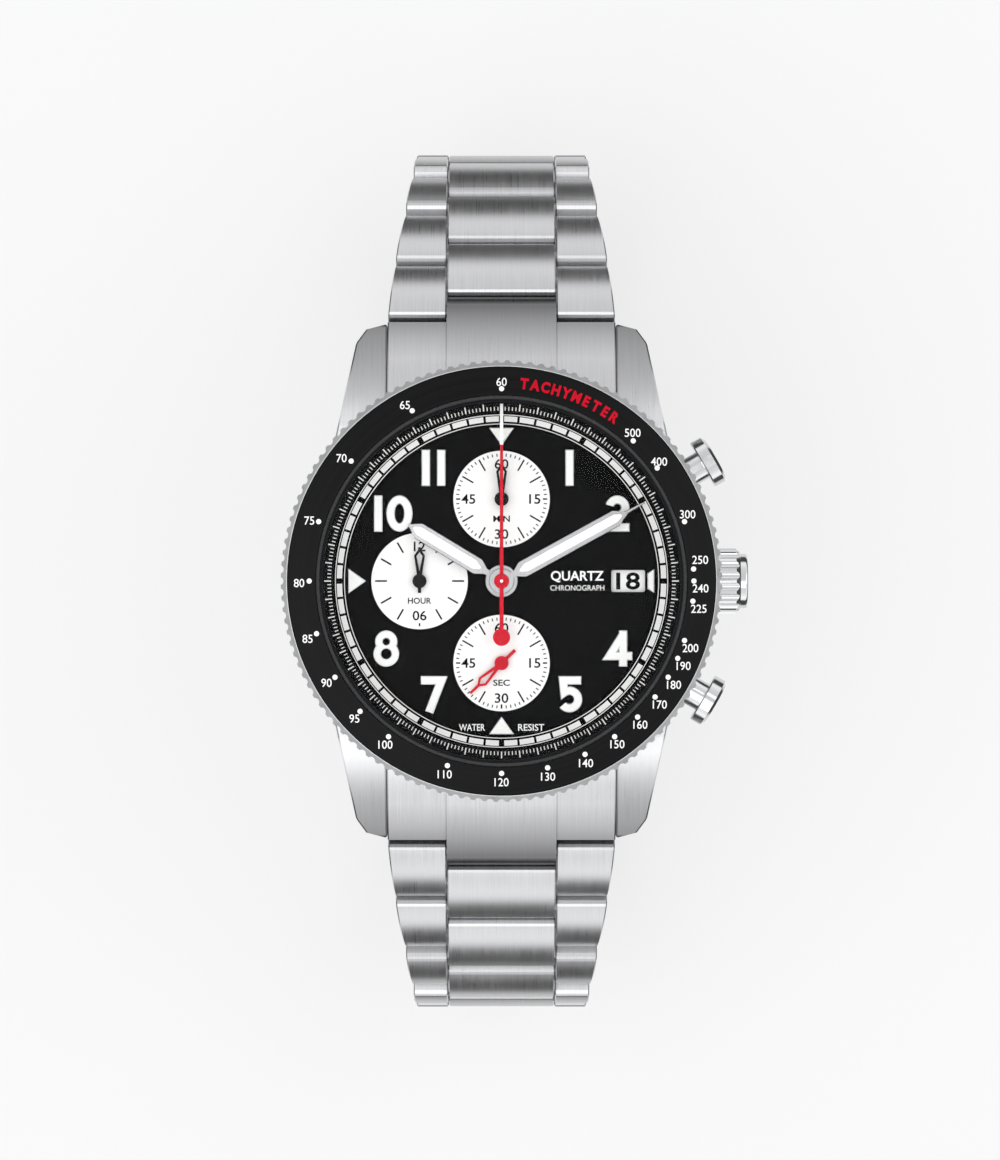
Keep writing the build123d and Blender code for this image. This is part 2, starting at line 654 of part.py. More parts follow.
def make_coil(x, y, turn):
    """Stepping motor coil: a winding between two square cheeks."""
    half = COIL_L / 2
    end_plane = Plane(origin=(x, y, PLATE_Z0 + COIL_R + 0.15), x_dir=(0, 0, 1),
                      z_dir=(cos(radians(turn)), sin(radians(turn)), 0))
    with BuildPart() as coil:
        with BuildSketch(end_plane):
            Circle(COIL_R - 0.12)
        extrude(amount=half, both=True)
        for side in (half, -half):
            with BuildSketch(end_plane.offset(side)):
                Rectangle(2 * COIL_R + 0.2, 2 * COIL_R + 0.2)
            extrude(amount=0.2, both=True)
    return coil.part


def make_battery():
    """Button cell: a can with a smaller top cap."""
    x, y = BATTERY_POS
    with BuildPart() as cell:
        with Locations((x, y, PLATE_Z0 + 0.02)):
            Cylinder(BATTERY_R, BATTERY_T - 0.25, align=(Align.CENTER, Align.CENTER, Align.MIN))
        fillet(cell.edges().group_by(Axis.Z)[0], 0.2)
        with Locations((x, y, PLATE_Z0 + BATTERY_T - 0.25)):
            Cylinder(BATTERY_R - 0.7, 0.25, align=(Align.CENTER, Align.CENTER, Align.MIN))
    return cell.part


def make_circuit_board():
    """Thin board under the movement, cut away round the battery."""
    with BuildPart() as board:
        with BuildSketch(Plane.XY.offset(PLATE_Z0 - 0.30)):
            Circle(PLATE_R - 0.4)
            with Locations(BATTERY_POS):
                Circle(BATTERY_R + 0.6, mode=Mode.SUBTRACT)
            with Locations((-14, -14)):
                Rectangle(14, 14, mode=Mode.SUBTRACT)
            with PolarLocations(11.5, 3, 60):
                Circle(0.7, mode=Mode.SUBTRACT)
        extrude(amount=0.28)
    return board.part


def make_battery_strap():
    """Springy strip that presses on the battery and is its contact."""
    x, y = BATTERY_POS
    with BuildPart() as strap:
        with BuildSketch(Plane.XY.offset(PLATE_Z0 - 0.20)):
            with Locations(Location((x, y, 0), (0, 0, 45))):
                SlotOverall(2 * BATTERY_R + 0.6, 2.2)
            with Locations((x, y)):
                Circle(0.7, mode=Mode.SUBTRACT)
        extrude(amount=0.16)
    return strap.part


def make_movement_holder():
    """Plastic ring between the movement and the case, notched for the crown's stem and the pushers."""
    with BuildPart() as ring:
        with BuildSketch(Plane.XY.offset(PLATE_Z0)):
            Circle(CAVITY_R - 0.06)
            Circle(PLATE_R + 0.06, mode=Mode.SUBTRACT)
        extrude(amount=PLATE_Z1 - PLATE_Z0 + 0.4)
        for angle in (0, PUSHER_ANGLE, -PUSHER_ANGLE):
            with BuildSketch(side_plane(PLATE_R - 2, angle)):
                Rectangle(3.2, 3.2)
            extrude(amount=6, mode=Mode.SUBTRACT)
    return ring.part


def make_date_disc():
    """Ring with 31 inner teeth that shows the date through the dial's window."""
    with BuildPart() as disc:
        with BuildSketch(Plane.XY.offset(DATE_Z)):
            Circle(DATE_OUT_R)
            Circle(DATE_IN_R, mode=Mode.SUBTRACT)
            with PolarLocations(DATE_IN_R, 31):
                Circle(0.42, mode=Mode.SUBTRACT)
        extrude(amount=DATE_T)
    return disc.part


# =========================== crown and pushers ===========================

def make_crown():
    """Fluted crown with a plain polished cap, bored to fit over its tube."""
    with BuildPart() as crown:
        with BuildSketch(side_plane(CROWN_X)):
            Circle(CROWN_R)
        extrude(amount=CROWN_L)
        chamfer(crown.edges().group_by(Axis.X)[-1], 0.42)
        chamfer(crown.edges().group_by(Axis.X)[0], 0.30)
        with BuildSketch(side_plane(CROWN_X - 0.1)):
            with PolarLocations(CROWN_R + 0.14, CROWN_FLUTES):
                Circle(FLUTE_R)
        extrude(amount=CROWN_L + 1, mode=Mode.SUBTRACT)
        with BuildSketch(side_plane(CROWN_X + CROWN_L)):
            Circle(CROWN_CAP_R)
        extrude(amount=CROWN_CAP_L)
        fillet(crown.edges().group_by(Axis.X)[-1], 0.22)
        with BuildSketch(side_plane(CROWN_X)):
            Circle(CROWN_BORE_R)
        extrude(amount=CROWN_TUBE_END - CROWN_X + 0.15, mode=Mode.SUBTRACT)
        with BuildSketch(side_plane(CROWN_X)):
            Circle(STEM_R + PRESS)
        extrude(amount=CROWN_L, mode=Mode.SUBTRACT)
    return crown.part


def make_crown_stem():
    """Shaft from the crown into the movement, with the groove that its setting lever holds."""
    with BuildPart() as stem:
        with BuildSketch(side_plane(STEM_IN_X)):
            Circle(STEM_R)
        extrude(amount=CROWN_X + CROWN_L - 0.1 - STEM_IN_X)
        with BuildSketch(side_plane(STEM_IN_X + 3)):
            Circle(STEM_R + 0.2)
            Circle(STEM_R - 0.2, mode=Mode.SUBTRACT)
        extrude(amount=0.5, mode=Mode.SUBTRACT)
    return stem.part


def make_crown_gasket():
    """Rubber ring in the crown's bore that seals on the tube."""
    with BuildPart() as ring:
        with BuildSketch(side_plane(CROWN_X + 0.1)):
            Circle(CROWN_BORE_R - PRESS)
            Circle(CROWN_TUBE_R + 0.03, mode=Mode.SUBTRACT)
        extrude(amount=0.42)
    return ring.part


def make_side_tube(angle, outer_r, inner_r, start, end, flange_r):
    """Tube in the case wall for the crown's stem or a pusher, with a narrow inner end."""
    with BuildPart() as tube:
        with BuildSketch(side_plane(start, angle)):
            Circle(outer_r)
        extrude(amount=end - start)
        with BuildSketch(side_plane(start - 0.1, angle)):
            Circle(flange_r)
        extrude(amount=end, mode=Mode.SUBTRACT)
        with BuildSketch(side_plane(start + 0.5, angle)):
            Circle(inner_r)
        extrude(amount=end, mode=Mode.SUBTRACT)
    return tube.part


TUBE_START = CAVITY_R + 0.15


def make_pusher(angle):
    """Push button: a thick cap, a neck that slides in the tube, and a thin stem with a retaining clip."""
    with BuildPart() as button:
        with BuildSketch(side_plane(PUSHER_CAP_X, angle)):
            Circle(PUSHER_CAP_R)
        extrude(amount=PUSHER_CAP_T)
        a = radians(angle)
        reach = Axis((0, 0, STEM_Z), (cos(a), sin(a), 0))
        rims = button.edges().filter_by(GeomType.CIRCLE).sort_by(reach)
        chamfer(rims[-1], 0.28, 0.42)
        chamfer(rims[0], 0.12)
        with BuildSketch(side_plane(PUSHER_NECK_X, angle)):
            Circle(PUSHER_NECK_R)
        extrude(amount=PUSHER_CAP_X - PUSHER_NECK_X)
        with BuildSketch(side_plane(PLATE_R + PUSHER_TRAVEL + 0.12, angle)):
            Circle(PUSHER_STEM_R)
        extrude(amount=PUSHER_NECK_X - PLATE_R - PUSHER_TRAVEL)
        with BuildSketch(side_plane(TUBE_START - 0.28, angle)):
            Circle(1.15)
        extrude(amount=0.22)
    return button.part


def make_pusher_spring(angle):
    """Compression coil between the tube's inner flange and the pusher's neck."""
    low, high = TUBE_START + 0.5 + SPRING_WIRE_R + 0.04, PUSHER_NECK_X - SPRING_WIRE_R - 0.04
    radius = (PUSHER_STEM_R + PUSHER_NECK_R) / 2
    with BuildPart() as spring:
        with BuildLine():
            wire = Helix((high - low) / SPRING_TURNS, high - low, radius)
        with BuildSketch(Plane(origin=wire @ 0, z_dir=wire % 0)):
            Circle(SPRING_WIRE_R)
        sweep(path=wire, is_frenet=True)
    return side_plane(low, angle).from_local_coords(spring.part)


# =========================== bracelet ===========================

def slab(near, far, hinge, round_near):
    """Side outline of a link piece from near to far, with a hinged end of radius LINK_R about the hinge."""
    near_top, far_top = LINK_R - 0.06, LINK_R - 0.36
    turn = LINK_R * sqrt(0.5)
    with BuildLine() as outline:
        roll = Polyline((near, near_top - ROLL), (near + 0.18 * ROLL, near_top - 0.42 * ROLL),
                        (near + 0.5 * ROLL, near_top - 0.13 * ROLL), (near + ROLL, near_top + 0.02))
        top = ThreePointArc(roll @ 1, ((near + far) / 2 - 0.25, LINK_R + LINK_CROWN), (far - 0.62, far_top))
        nose = Polyline(top @ 1, (far - 0.2, far_top - 0.36), (far, far_top - 0.80))
        if round_near:
            heel = Polyline(nose @ 1, (far, 0.3 - LINK_R), (far - 0.3, -LINK_R), (hinge, -LINK_R))
            toe = ThreePointArc(heel @ 1, (hinge - turn, -turn), (near, 0))
            Line(toe @ 1, roll @ 0)
        else:
            down = Line(nose @ 1, (far, 0))
            toe = ThreePointArc(down @ 1, (hinge + turn, -turn), (hinge, -LINK_R))
            Polyline(toe @ 1, (near + 0.3, -LINK_R), (near, 0.3 - LINK_R), roll @ 0)
    make_face(outline.edges())


class LinkFrame:
    """Place of one link: u runs along the bracelet from its hinge pin, n outwards, w across."""

    def __init__(self, y, z, slope, side):
        t = radians(slope)
        self.start = (0, side * y, z)
        self.along = (0, side * cos(t), -sin(t))
        self.out = (0, side * sin(t), cos(t))
        self.profile = Plane(origin=self.start, x_dir=self.along, z_dir=(side, 0, 0))
        self.plan = Plane(origin=self.start, x_dir=self.along, z_dir=self.out)
        self.end = (y + PITCH * cos(t), z - PITCH * sin(t))


def rod(plane, u, radius, half_length):
    """A pin across the bracelet."""
    with BuildPart() as pin:
        with BuildSketch(plane):
            with Locations((u, 0)):
                Circle(radius)
        extrude(amount=half_length, both=True)
        chamfer(pin.edges(), min(0.08, radius / 4))
    return pin.part


def flank_edges(part):
    """The edges round the faces that look sideways."""
    return part.faces().filter_by(lambda f: abs(f.normal_at().X) > 0.9).edges()


def make_link(frame, half_near, half_far, end_bar):
    """One link: two outer pieces and a centre piece, joined by a pressed pin, with its hinge pin."""
    inner = CENTRE_W / 2 + SIDE_GAP
    near, far = -LINK_R, PITCH - LINK_R - LINK_GAP
    widest = HALF_WIDTHS[0] + 1
    with BuildPart() as outers:
        with BuildSketch(frame.profile):
            slab(near, far, 0, True)
        extrude(amount=widest, both=True)
        with BuildSketch(frame.plan):
            for side in (1, -1):
                Polygon((near, side * half_near), (far, side * half_far), (far, side * inner),
                        (near, side * inner), align=None)
        extrude(amount=4, both=True, mode=Mode.INTERSECT)
        chamfer(flank_edges(outers.part), EDGE)
        with BuildSketch(frame.profile):
            Circle(PIN_R + PRESS)
        extrude(amount=widest, both=True, mode=Mode.SUBTRACT)
        with BuildSketch(frame.profile):
            with Locations((PITCH / 2, 0)):
                Circle(PRESS_PIN_R + PRESS)
        extrude(amount=inner + 1.6, both=True, mode=Mode.SUBTRACT)
    with BuildPart() as centre:
        with BuildSketch(frame.profile):
            slab(LINK_R + LINK_GAP, PITCH + LINK_R, PITCH, False)
        extrude(amount=CENTRE_W / 2, both=True)
        chamfer(flank_edges(centre.part), EDGE)
        with BuildSketch(frame.profile):
            with Locations((PITCH / 2, 0)):
                Circle(PRESS_PIN_R + PRESS)
            with Locations((PITCH, 0)):
                Circle(PIN_R + RUN)
        extrude(amount=CENTRE_W, both=True, mode=Mode.SUBTRACT)
    pins = [
        rod(frame.profile, 0, PIN_R, min(half_near, half_far) - 0.25),
        rod(frame.profile, PITCH / 2, PRESS_PIN_R, inner + 1.5),
    ]
    if end_bar:
        pins.append(rod(frame.profile, PITCH, PIN_R, CENTRE_W / 2))
    return group(outers.part, centre.part, *pins)


def make_bracelet():
    """Both halves of the bracelet. Returns the last hinge of each half, as (distance, height)."""
    ends = {}
    for name, slopes, side in (("12", SLOPES_12, 1), ("6", SLOPES_6, -1)):
        y, z = HINGE_1
        for i, slope in enumerate(slopes):
            frame = LinkFrame(y, z, slope, side)
            half_near = HALF_WIDTHS[min(i, len(HALF_WIDTHS) - 1)]
            half_far = HALF_WIDTHS[min(i + 1, len(HALF_WIDTHS) - 1)]
            last = name == "12" and i == len(slopes) - 1
            save(make_link(frame, half_near, half_far, last), f"link_{name}_{i + 1}")
            y, z = frame.end
        ends[name] = (side * y, z)
    return ends


# =========================== clasp ===========================

def make_clasp(end_6, end_12):
    """Folding clasp: cover, outer and inner blade, hinge pins and two push buttons."""
    (y6, zc), (y12, _) = end_6, end_12
    cover_y0, cover_y1 = y6 + LINK_R + LINK_GAP + 0.1, y12 - LINK_R - LINK_GAP
    hinge_y, hinge_z = y6 + COVER_HINGE_INSET, zc - 0.62
    middle_y, middle_z = y12 - MIDDLE_HINGE_INSET, zc + 0.06
    outer_top, inner_bottom = zc - 0.28, zc + 0.36
    wall_top = zc + 1.05
    ear_in, ear_out = CENTRE_W / 2 + SIDE_GAP, HALF_WIDTHS[-1]
    wall_in = COVER_HALF_W - COVER_WALL
    with BuildPart() as cover:
        with BuildSketch(Plane.YZ):
            with BuildLine():
                mid = (cover_y0 + y12) / 2
                sole = ThreePointArc((cover_y0, zc - COVER_DROP), (mid, zc - COVER_DROP - COVER_BULGE),
                                     (y12 + 0.1, zc - LINK_R - 0.12))
                Polyline(sole @ 1, (y12 + 0.95, zc - 0.85), (y12 + 1.28, zc - 0.3), (y12 + 1.28, zc + 0.4),
                         (y12 + 0.85, wall_top), (cover_y0 + 1.2, wall_top), (cover_y0, wall_top - 1.2), sole @ 0)
            make_face()
        extrude(amount=COVER_HALF_W, both=True)
        chamfer(flank_edges(cover.part).filter_by(lambda e: e.center().Z < wall_top - 0.1), 0.25)
        with BuildSketch(Plane.YZ):
            with BuildLine():
                inside = ThreePointArc((cover_y0 - 1, zc - COVER_DROP + COVER_T),
                                       (mid, zc - COVER_DROP - COVER_BULGE + COVER_T),
                                       (cover_y1 - 0.8, zc - 1.35))
                Polyline(inside @ 1, (cover_y1 - 0.8, zc + 3), (cover_y0 - 1, zc + 3), inside @ 0)
            make_face()
        extrude(amount=wall_in, both=True, mode=Mode.SUBTRACT)
        with BuildSketch(Plane.XY.offset(zc - 4)):
            with Locations((0, cover_y1 + 5)):
                Rectangle(2 * ear_in, 10)
        extrude(amount=8, mode=Mode.SUBTRACT)
        with BuildSketch(Plane.YZ):
            with Locations((hinge_y, hinge_z)):
                Circle(CLASP_PIN_R + PRESS)
        extrude(amount=COVER_HALF_W - 0.2, both=True, mode=Mode.SUBTRACT)
        with BuildSketch(Plane.YZ):
            with Locations((y12, zc)):
                Circle(PIN_R + RUN)
        extrude(amount=COVER_HALF_W - 0.8, both=True, mode=Mode.SUBTRACT)
        with BuildSketch(Plane.YZ):
            with Locations((button_y(y12), zc - 0.35)):
                RectangleRounded(BUTTON_L + 2 * RUN, BUTTON_H + 2 * RUN, 0.5)
        extrude(amount=COVER_HALF_W + 1, both=True, mode=Mode.SUBTRACT)
    save(cover.part, "clasp_cover")
    with BuildPart() as outer_blade:
        with BuildSketch(Plane.XY.offset(outer_top)):
            with Locations(((0, (hinge_y + middle_y) / 2))):
                Rectangle(2 * BLADE_OUTER_HALF_W, middle_y - hinge_y - 2 * KNUCKLE_R - 0.4)
            with Locations((0, hinge_y + KNUCKLE_R)):
                Rectangle(9.6, 2 * KNUCKLE_R)
            for side in (1, -1):
                with Locations((side * 4.75, middle_y - KNUCKLE_R)):
                    Rectangle(3.3, 2 * KNUCKLE_R)
            with Locations((0, (hinge_y + middle_y) / 2)):
                SlotOverall(16, 6, rotation=90, mode=Mode.SUBTRACT)
        extrude(amount=-BLADE_T)
        for y, z, x, width in ((hinge_y, hinge_z, 0, 9.6), (middle_y, middle_z, 4.75, 3.3), (middle_y, middle_z, -4.75, 3.3)):
            with BuildSketch(Plane.YZ.offset(x)):
                with Locations((y, z)):
                    Circle(KNUCKLE_R)
            extrude(amount=width / 2, both=True)
        with BuildSketch(Plane.YZ):
            with Locations((hinge_y, hinge_z), (middle_y, middle_z)):
                Circle(CLASP_PIN_R + RUN)
        extrude(amount=COVER_HALF_W, both=True, mode=Mode.SUBTRACT)
    save(outer_blade.part, "clasp_blade_outer")
    with BuildPart() as inner_blade:
        plate_y0 = y6 + LINK_R + LINK_GAP
        with BuildSketch(Plane.XY.offset(inner_bottom)):
            with Locations((0, (plate_y0 + middle_y - KNUCKLE_R - 0.2) / 2)):
                Rectangle(2 * BLADE_INNER_HALF_W, middle_y - KNUCKLE_R - 0.2 - plate_y0)
            with Locations((0, middle_y - KNUCKLE_R)):
                Rectangle(6.0, 2 * KNUCKLE_R)
            with Locations((0, (hinge_y + middle_y) / 2)):
                SlotOverall(18, 8, rotation=90, mode=Mode.SUBTRACT)
        extrude(amount=BLADE_T)
        with BuildSketch(Plane.YZ):
            with Locations((middle_y, middle_z)):
                Circle(KNUCKLE_R)
        extrude(amount=3.0, both=True)
        with BuildSketch(Plane.YZ):
            with BuildLine():
                back = Line((y6, zc + LINK_R), (plate_y0 + 1.2, inner_bottom + BLADE_T))
                low = Polyline(back @ 1, (plate_y0 + 1.2, inner_bottom), (plate_y0, zc - 0.4), (y6, zc - LINK_R))
                ThreePointArc(low @ 1, (y6 - LINK_R, zc), back @ 0)
            make_face()
        ears = extrude(amount=ear_out - 0.4, both=True, mode=Mode.PRIVATE)
        with BuildSketch(Plane.XY.offset(zc - 4)):
            with Locations((0, y6 - 2)):
                Rectangle(2 * ear_in, 4 + 2 * (LINK_R + LINK_GAP))
        slot = extrude(amount=8, mode=Mode.PRIVATE)
        add(ears - slot)
        with BuildSketch(Plane.YZ):
            with Locations((y6, zc)):
                Circle(PIN_R + PRESS)
            with Locations((middle_y, middle_z)):
                Circle(CLASP_PIN_R + PRESS)
        extrude(amount=COVER_HALF_W, both=True, mode=Mode.SUBTRACT)
    save(inner_blade.part, "clasp_blade_inner")
    save(
        group(
            rod(Plane(origin=(0, y6, zc), x_dir=(0, 1, 0), z_dir=(1, 0, 0)), 0, PIN_R, ear_out - 0.6),
            rod(Plane(origin=(0, middle_y, middle_z), x_dir=(0, 1, 0), z_dir=(1, 0, 0)), 0, CLASP_PIN_R, 6.3),
        ),
        "clasp_blade_pins",
    )
    save(
        rod(Plane(origin=(0, hinge_y, hinge_z), x_dir=(0, 1, 0), z_dir=(1, 0, 0)), 0, CLASP_PIN_R, COVER_HALF_W - 0.25),
        "clasp_cover_pin",
    )
    for side, name in ((1, "right"), (-1, "left")):
        with BuildPart() as button:
            with BuildSketch(Plane.YZ.offset(side * (wall_in - 0.1))):
                with Locations((button_y(y12), zc - 0.35)):
                    RectangleRounded(BUTTON_L, BUTTON_H, 0.5)
            extrude(amount=side * (COVER_WALL + BUTTON_PROUD + 0.1))
            face = button.faces().sort_by(Axis.X)[-1 if side > 0 else 0]
            chamfer(face.edges(), 0.12)
            with BuildSketch(Plane.YZ.offset(side * (wall_in - 0.05))):
                with Locations((button_y(y12), zc - 0.35)):
                    RectangleRounded(BUTTON_L + 0.8, BUTTON_H + 0.4, 0.5)
            extrude(amount=-side * 0.45)
        save(button.part, f"clasp_button_{name}")


def button_y(y12):
    """Where the clasp's buttons are along the cover."""
    return y12 - 11.0


# =========================== build ===========================

save(make_case(), "case_middle")
save(group(*(make_end_link(turn) for turn in (0, 180))), "end_links")
save(group(make_spring_bar(BAR_Y), make_spring_bar(-BAR_Y)), "lug_spring_bars")
save(make_caseback(), "caseback")
save(group(*(make_back_screw(*clock(45 + 90 * i, BACK_SCREW_CIRCLE)) for i in range(4))), "caseback_screws")
save(turned([
    (CAVITY_R + 0.04, CASE_BOTTOM + 0.02), (CAVITY_R + 0.55, CASE_BOTTOM + 0.02),
    (CAVITY_R + 0.55, CASE_BOTTOM + GASKET_T - 0.02), (CAVITY_R + 0.04, CASE_BOTTOM + GASKET_T - 0.02),
]), "caseback_gasket")
save(make_bezel(), "bezel")
save(make_insert(), "bezel_insert")
save(make_crystal(), "crystal")
save(turned([
    (CRYSTAL_R + PRESS, LEDGE_Z + 0.01), (INSERT_IN_R, LEDGE_Z + 0.01),
    (INSERT_IN_R, LEDGE_Z + CRYSTAL_T - CRYSTAL_CHAMFER - 0.1),
    (CRYSTAL_R + PRESS, LEDGE_Z + CRYSTAL_T - CRYSTAL_CHAMFER - 0.1),
]), "crystal_gasket")
save(make_chapter_ring(), "chapter_ring")
save(make_dial(), "dial")
save(make_sub_plates(), "subdial_plates")
save(make_markers(0.0, DIAL_TOP + 0.002, MARK_T), "hour_markers")
save(make_markers(0.1, DIAL_TOP + MARK_T + 0.004, LUME_T), "hour_marker_lume")
save(make_baton(10.5, 0.25, HOUR_Z, 1.57, HOUR_PIPE_R, HOUR_ANGLE, PLATE_Z1 - 0.3), "hour_hand")
save(make_baton(15.7, 2.2, MINUTE_Z, 1.22, MINUTE_PIPE_R, MINUTE_ANGLE, PLATE_Z1 - 0.1), "minute_hand")
save(make_chrono_hand(), "chrono_seconds_hand")
save(make_sub_hand(SUB_CENTRES["12"], 0, 3.45, 0.25, 1.15), "minute_counter_hand")
save(make_sub_hand(SUB_CENTRES["9"], 0, 3.25, 0.25, 1.15), "hour_counter_hand")
save(make_sub_hand(SUB_CENTRES["6"], SECONDS_ANGLE, 4.2, 1.1, 1.8), "small_seconds_hand")
save(make_main_plate(), "movement_plate")
save(group(*(make_coil(*c) for c in COILS)), "motor_coils")
save(make_battery(), "battery")
save(make_circuit_board(), "circuit_board")
save(make_battery_strap(), "battery_strap")
save(make_movement_holder(), "movement_holder")
save(make_date_disc(), "date_disc")
save(make_crown(), "crown")
save(make_crown_stem(), "crown_stem")
save(make_crown_gasket(), "crown_gasket")
save(group(
    make_side_tube(0, CROWN_TUBE_R, STEM_R + 0.25, TUBE_START, CROWN_TUBE_END, STEM_R + RUN),
    *(make_side_tube(a, PUSHER_TUBE_R, PUSHER_NECK_R + RUN, TUBE_START, CASE_R + 0.2, PUSHER_STEM_R + RUN)
      for a in (PUSHER_ANGLE, -PUSHER_ANGLE)),
), "side_tubes")
save(make_pusher(PUSHER_ANGLE), "pusher_2")
save(make_pusher(-PUSHER_ANGLE), "pusher_4")
save(make_pusher_spring(PUSHER_ANGLE), "pusher_2_spring")
save(make_pusher_spring(-PUSHER_ANGLE), "pusher_4_spring")
ends = make_bracelet()
make_clasp(ends["6"], ends["12"])
print("last hinges", ends)
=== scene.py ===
"""Looks of the chronograph wristwatch: materials, printing, luminous fills, light and camera. Metres."""
import json
from math import cos, hypot, pi, radians, sin

import bpy
import bmesh
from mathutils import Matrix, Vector


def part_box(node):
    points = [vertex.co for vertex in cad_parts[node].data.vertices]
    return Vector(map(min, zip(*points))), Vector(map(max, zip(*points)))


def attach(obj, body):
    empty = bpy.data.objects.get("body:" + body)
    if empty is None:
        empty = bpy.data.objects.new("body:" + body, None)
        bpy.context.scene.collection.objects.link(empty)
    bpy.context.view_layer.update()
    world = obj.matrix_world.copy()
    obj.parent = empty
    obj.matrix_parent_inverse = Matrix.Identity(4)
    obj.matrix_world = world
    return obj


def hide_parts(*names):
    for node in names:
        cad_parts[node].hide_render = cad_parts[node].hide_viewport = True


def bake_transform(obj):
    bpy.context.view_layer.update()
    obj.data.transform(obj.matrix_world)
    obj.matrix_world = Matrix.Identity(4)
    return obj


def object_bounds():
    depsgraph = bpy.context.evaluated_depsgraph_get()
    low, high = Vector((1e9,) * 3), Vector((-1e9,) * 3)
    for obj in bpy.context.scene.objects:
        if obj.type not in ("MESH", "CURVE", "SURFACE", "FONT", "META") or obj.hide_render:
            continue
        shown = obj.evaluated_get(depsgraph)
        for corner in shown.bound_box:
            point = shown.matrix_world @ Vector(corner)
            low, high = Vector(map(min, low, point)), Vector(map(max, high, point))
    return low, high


MM = 0.001
RING_SPIN = 0.02            # how fast turned marks change along their circles
STEEL = (0.62, 0.622, 0.632)
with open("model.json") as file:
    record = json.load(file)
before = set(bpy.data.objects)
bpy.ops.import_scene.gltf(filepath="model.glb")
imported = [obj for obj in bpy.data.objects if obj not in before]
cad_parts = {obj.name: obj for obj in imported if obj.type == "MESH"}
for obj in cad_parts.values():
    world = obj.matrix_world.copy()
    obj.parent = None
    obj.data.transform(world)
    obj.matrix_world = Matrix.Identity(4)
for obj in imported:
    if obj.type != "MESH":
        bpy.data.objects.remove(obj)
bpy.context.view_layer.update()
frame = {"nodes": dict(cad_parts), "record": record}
nodes = frame["nodes"]
slot_of = {s["node"]: s["material_slot"] for s in frame["record"]["subparts"]}


# ---------------- materials ----------------

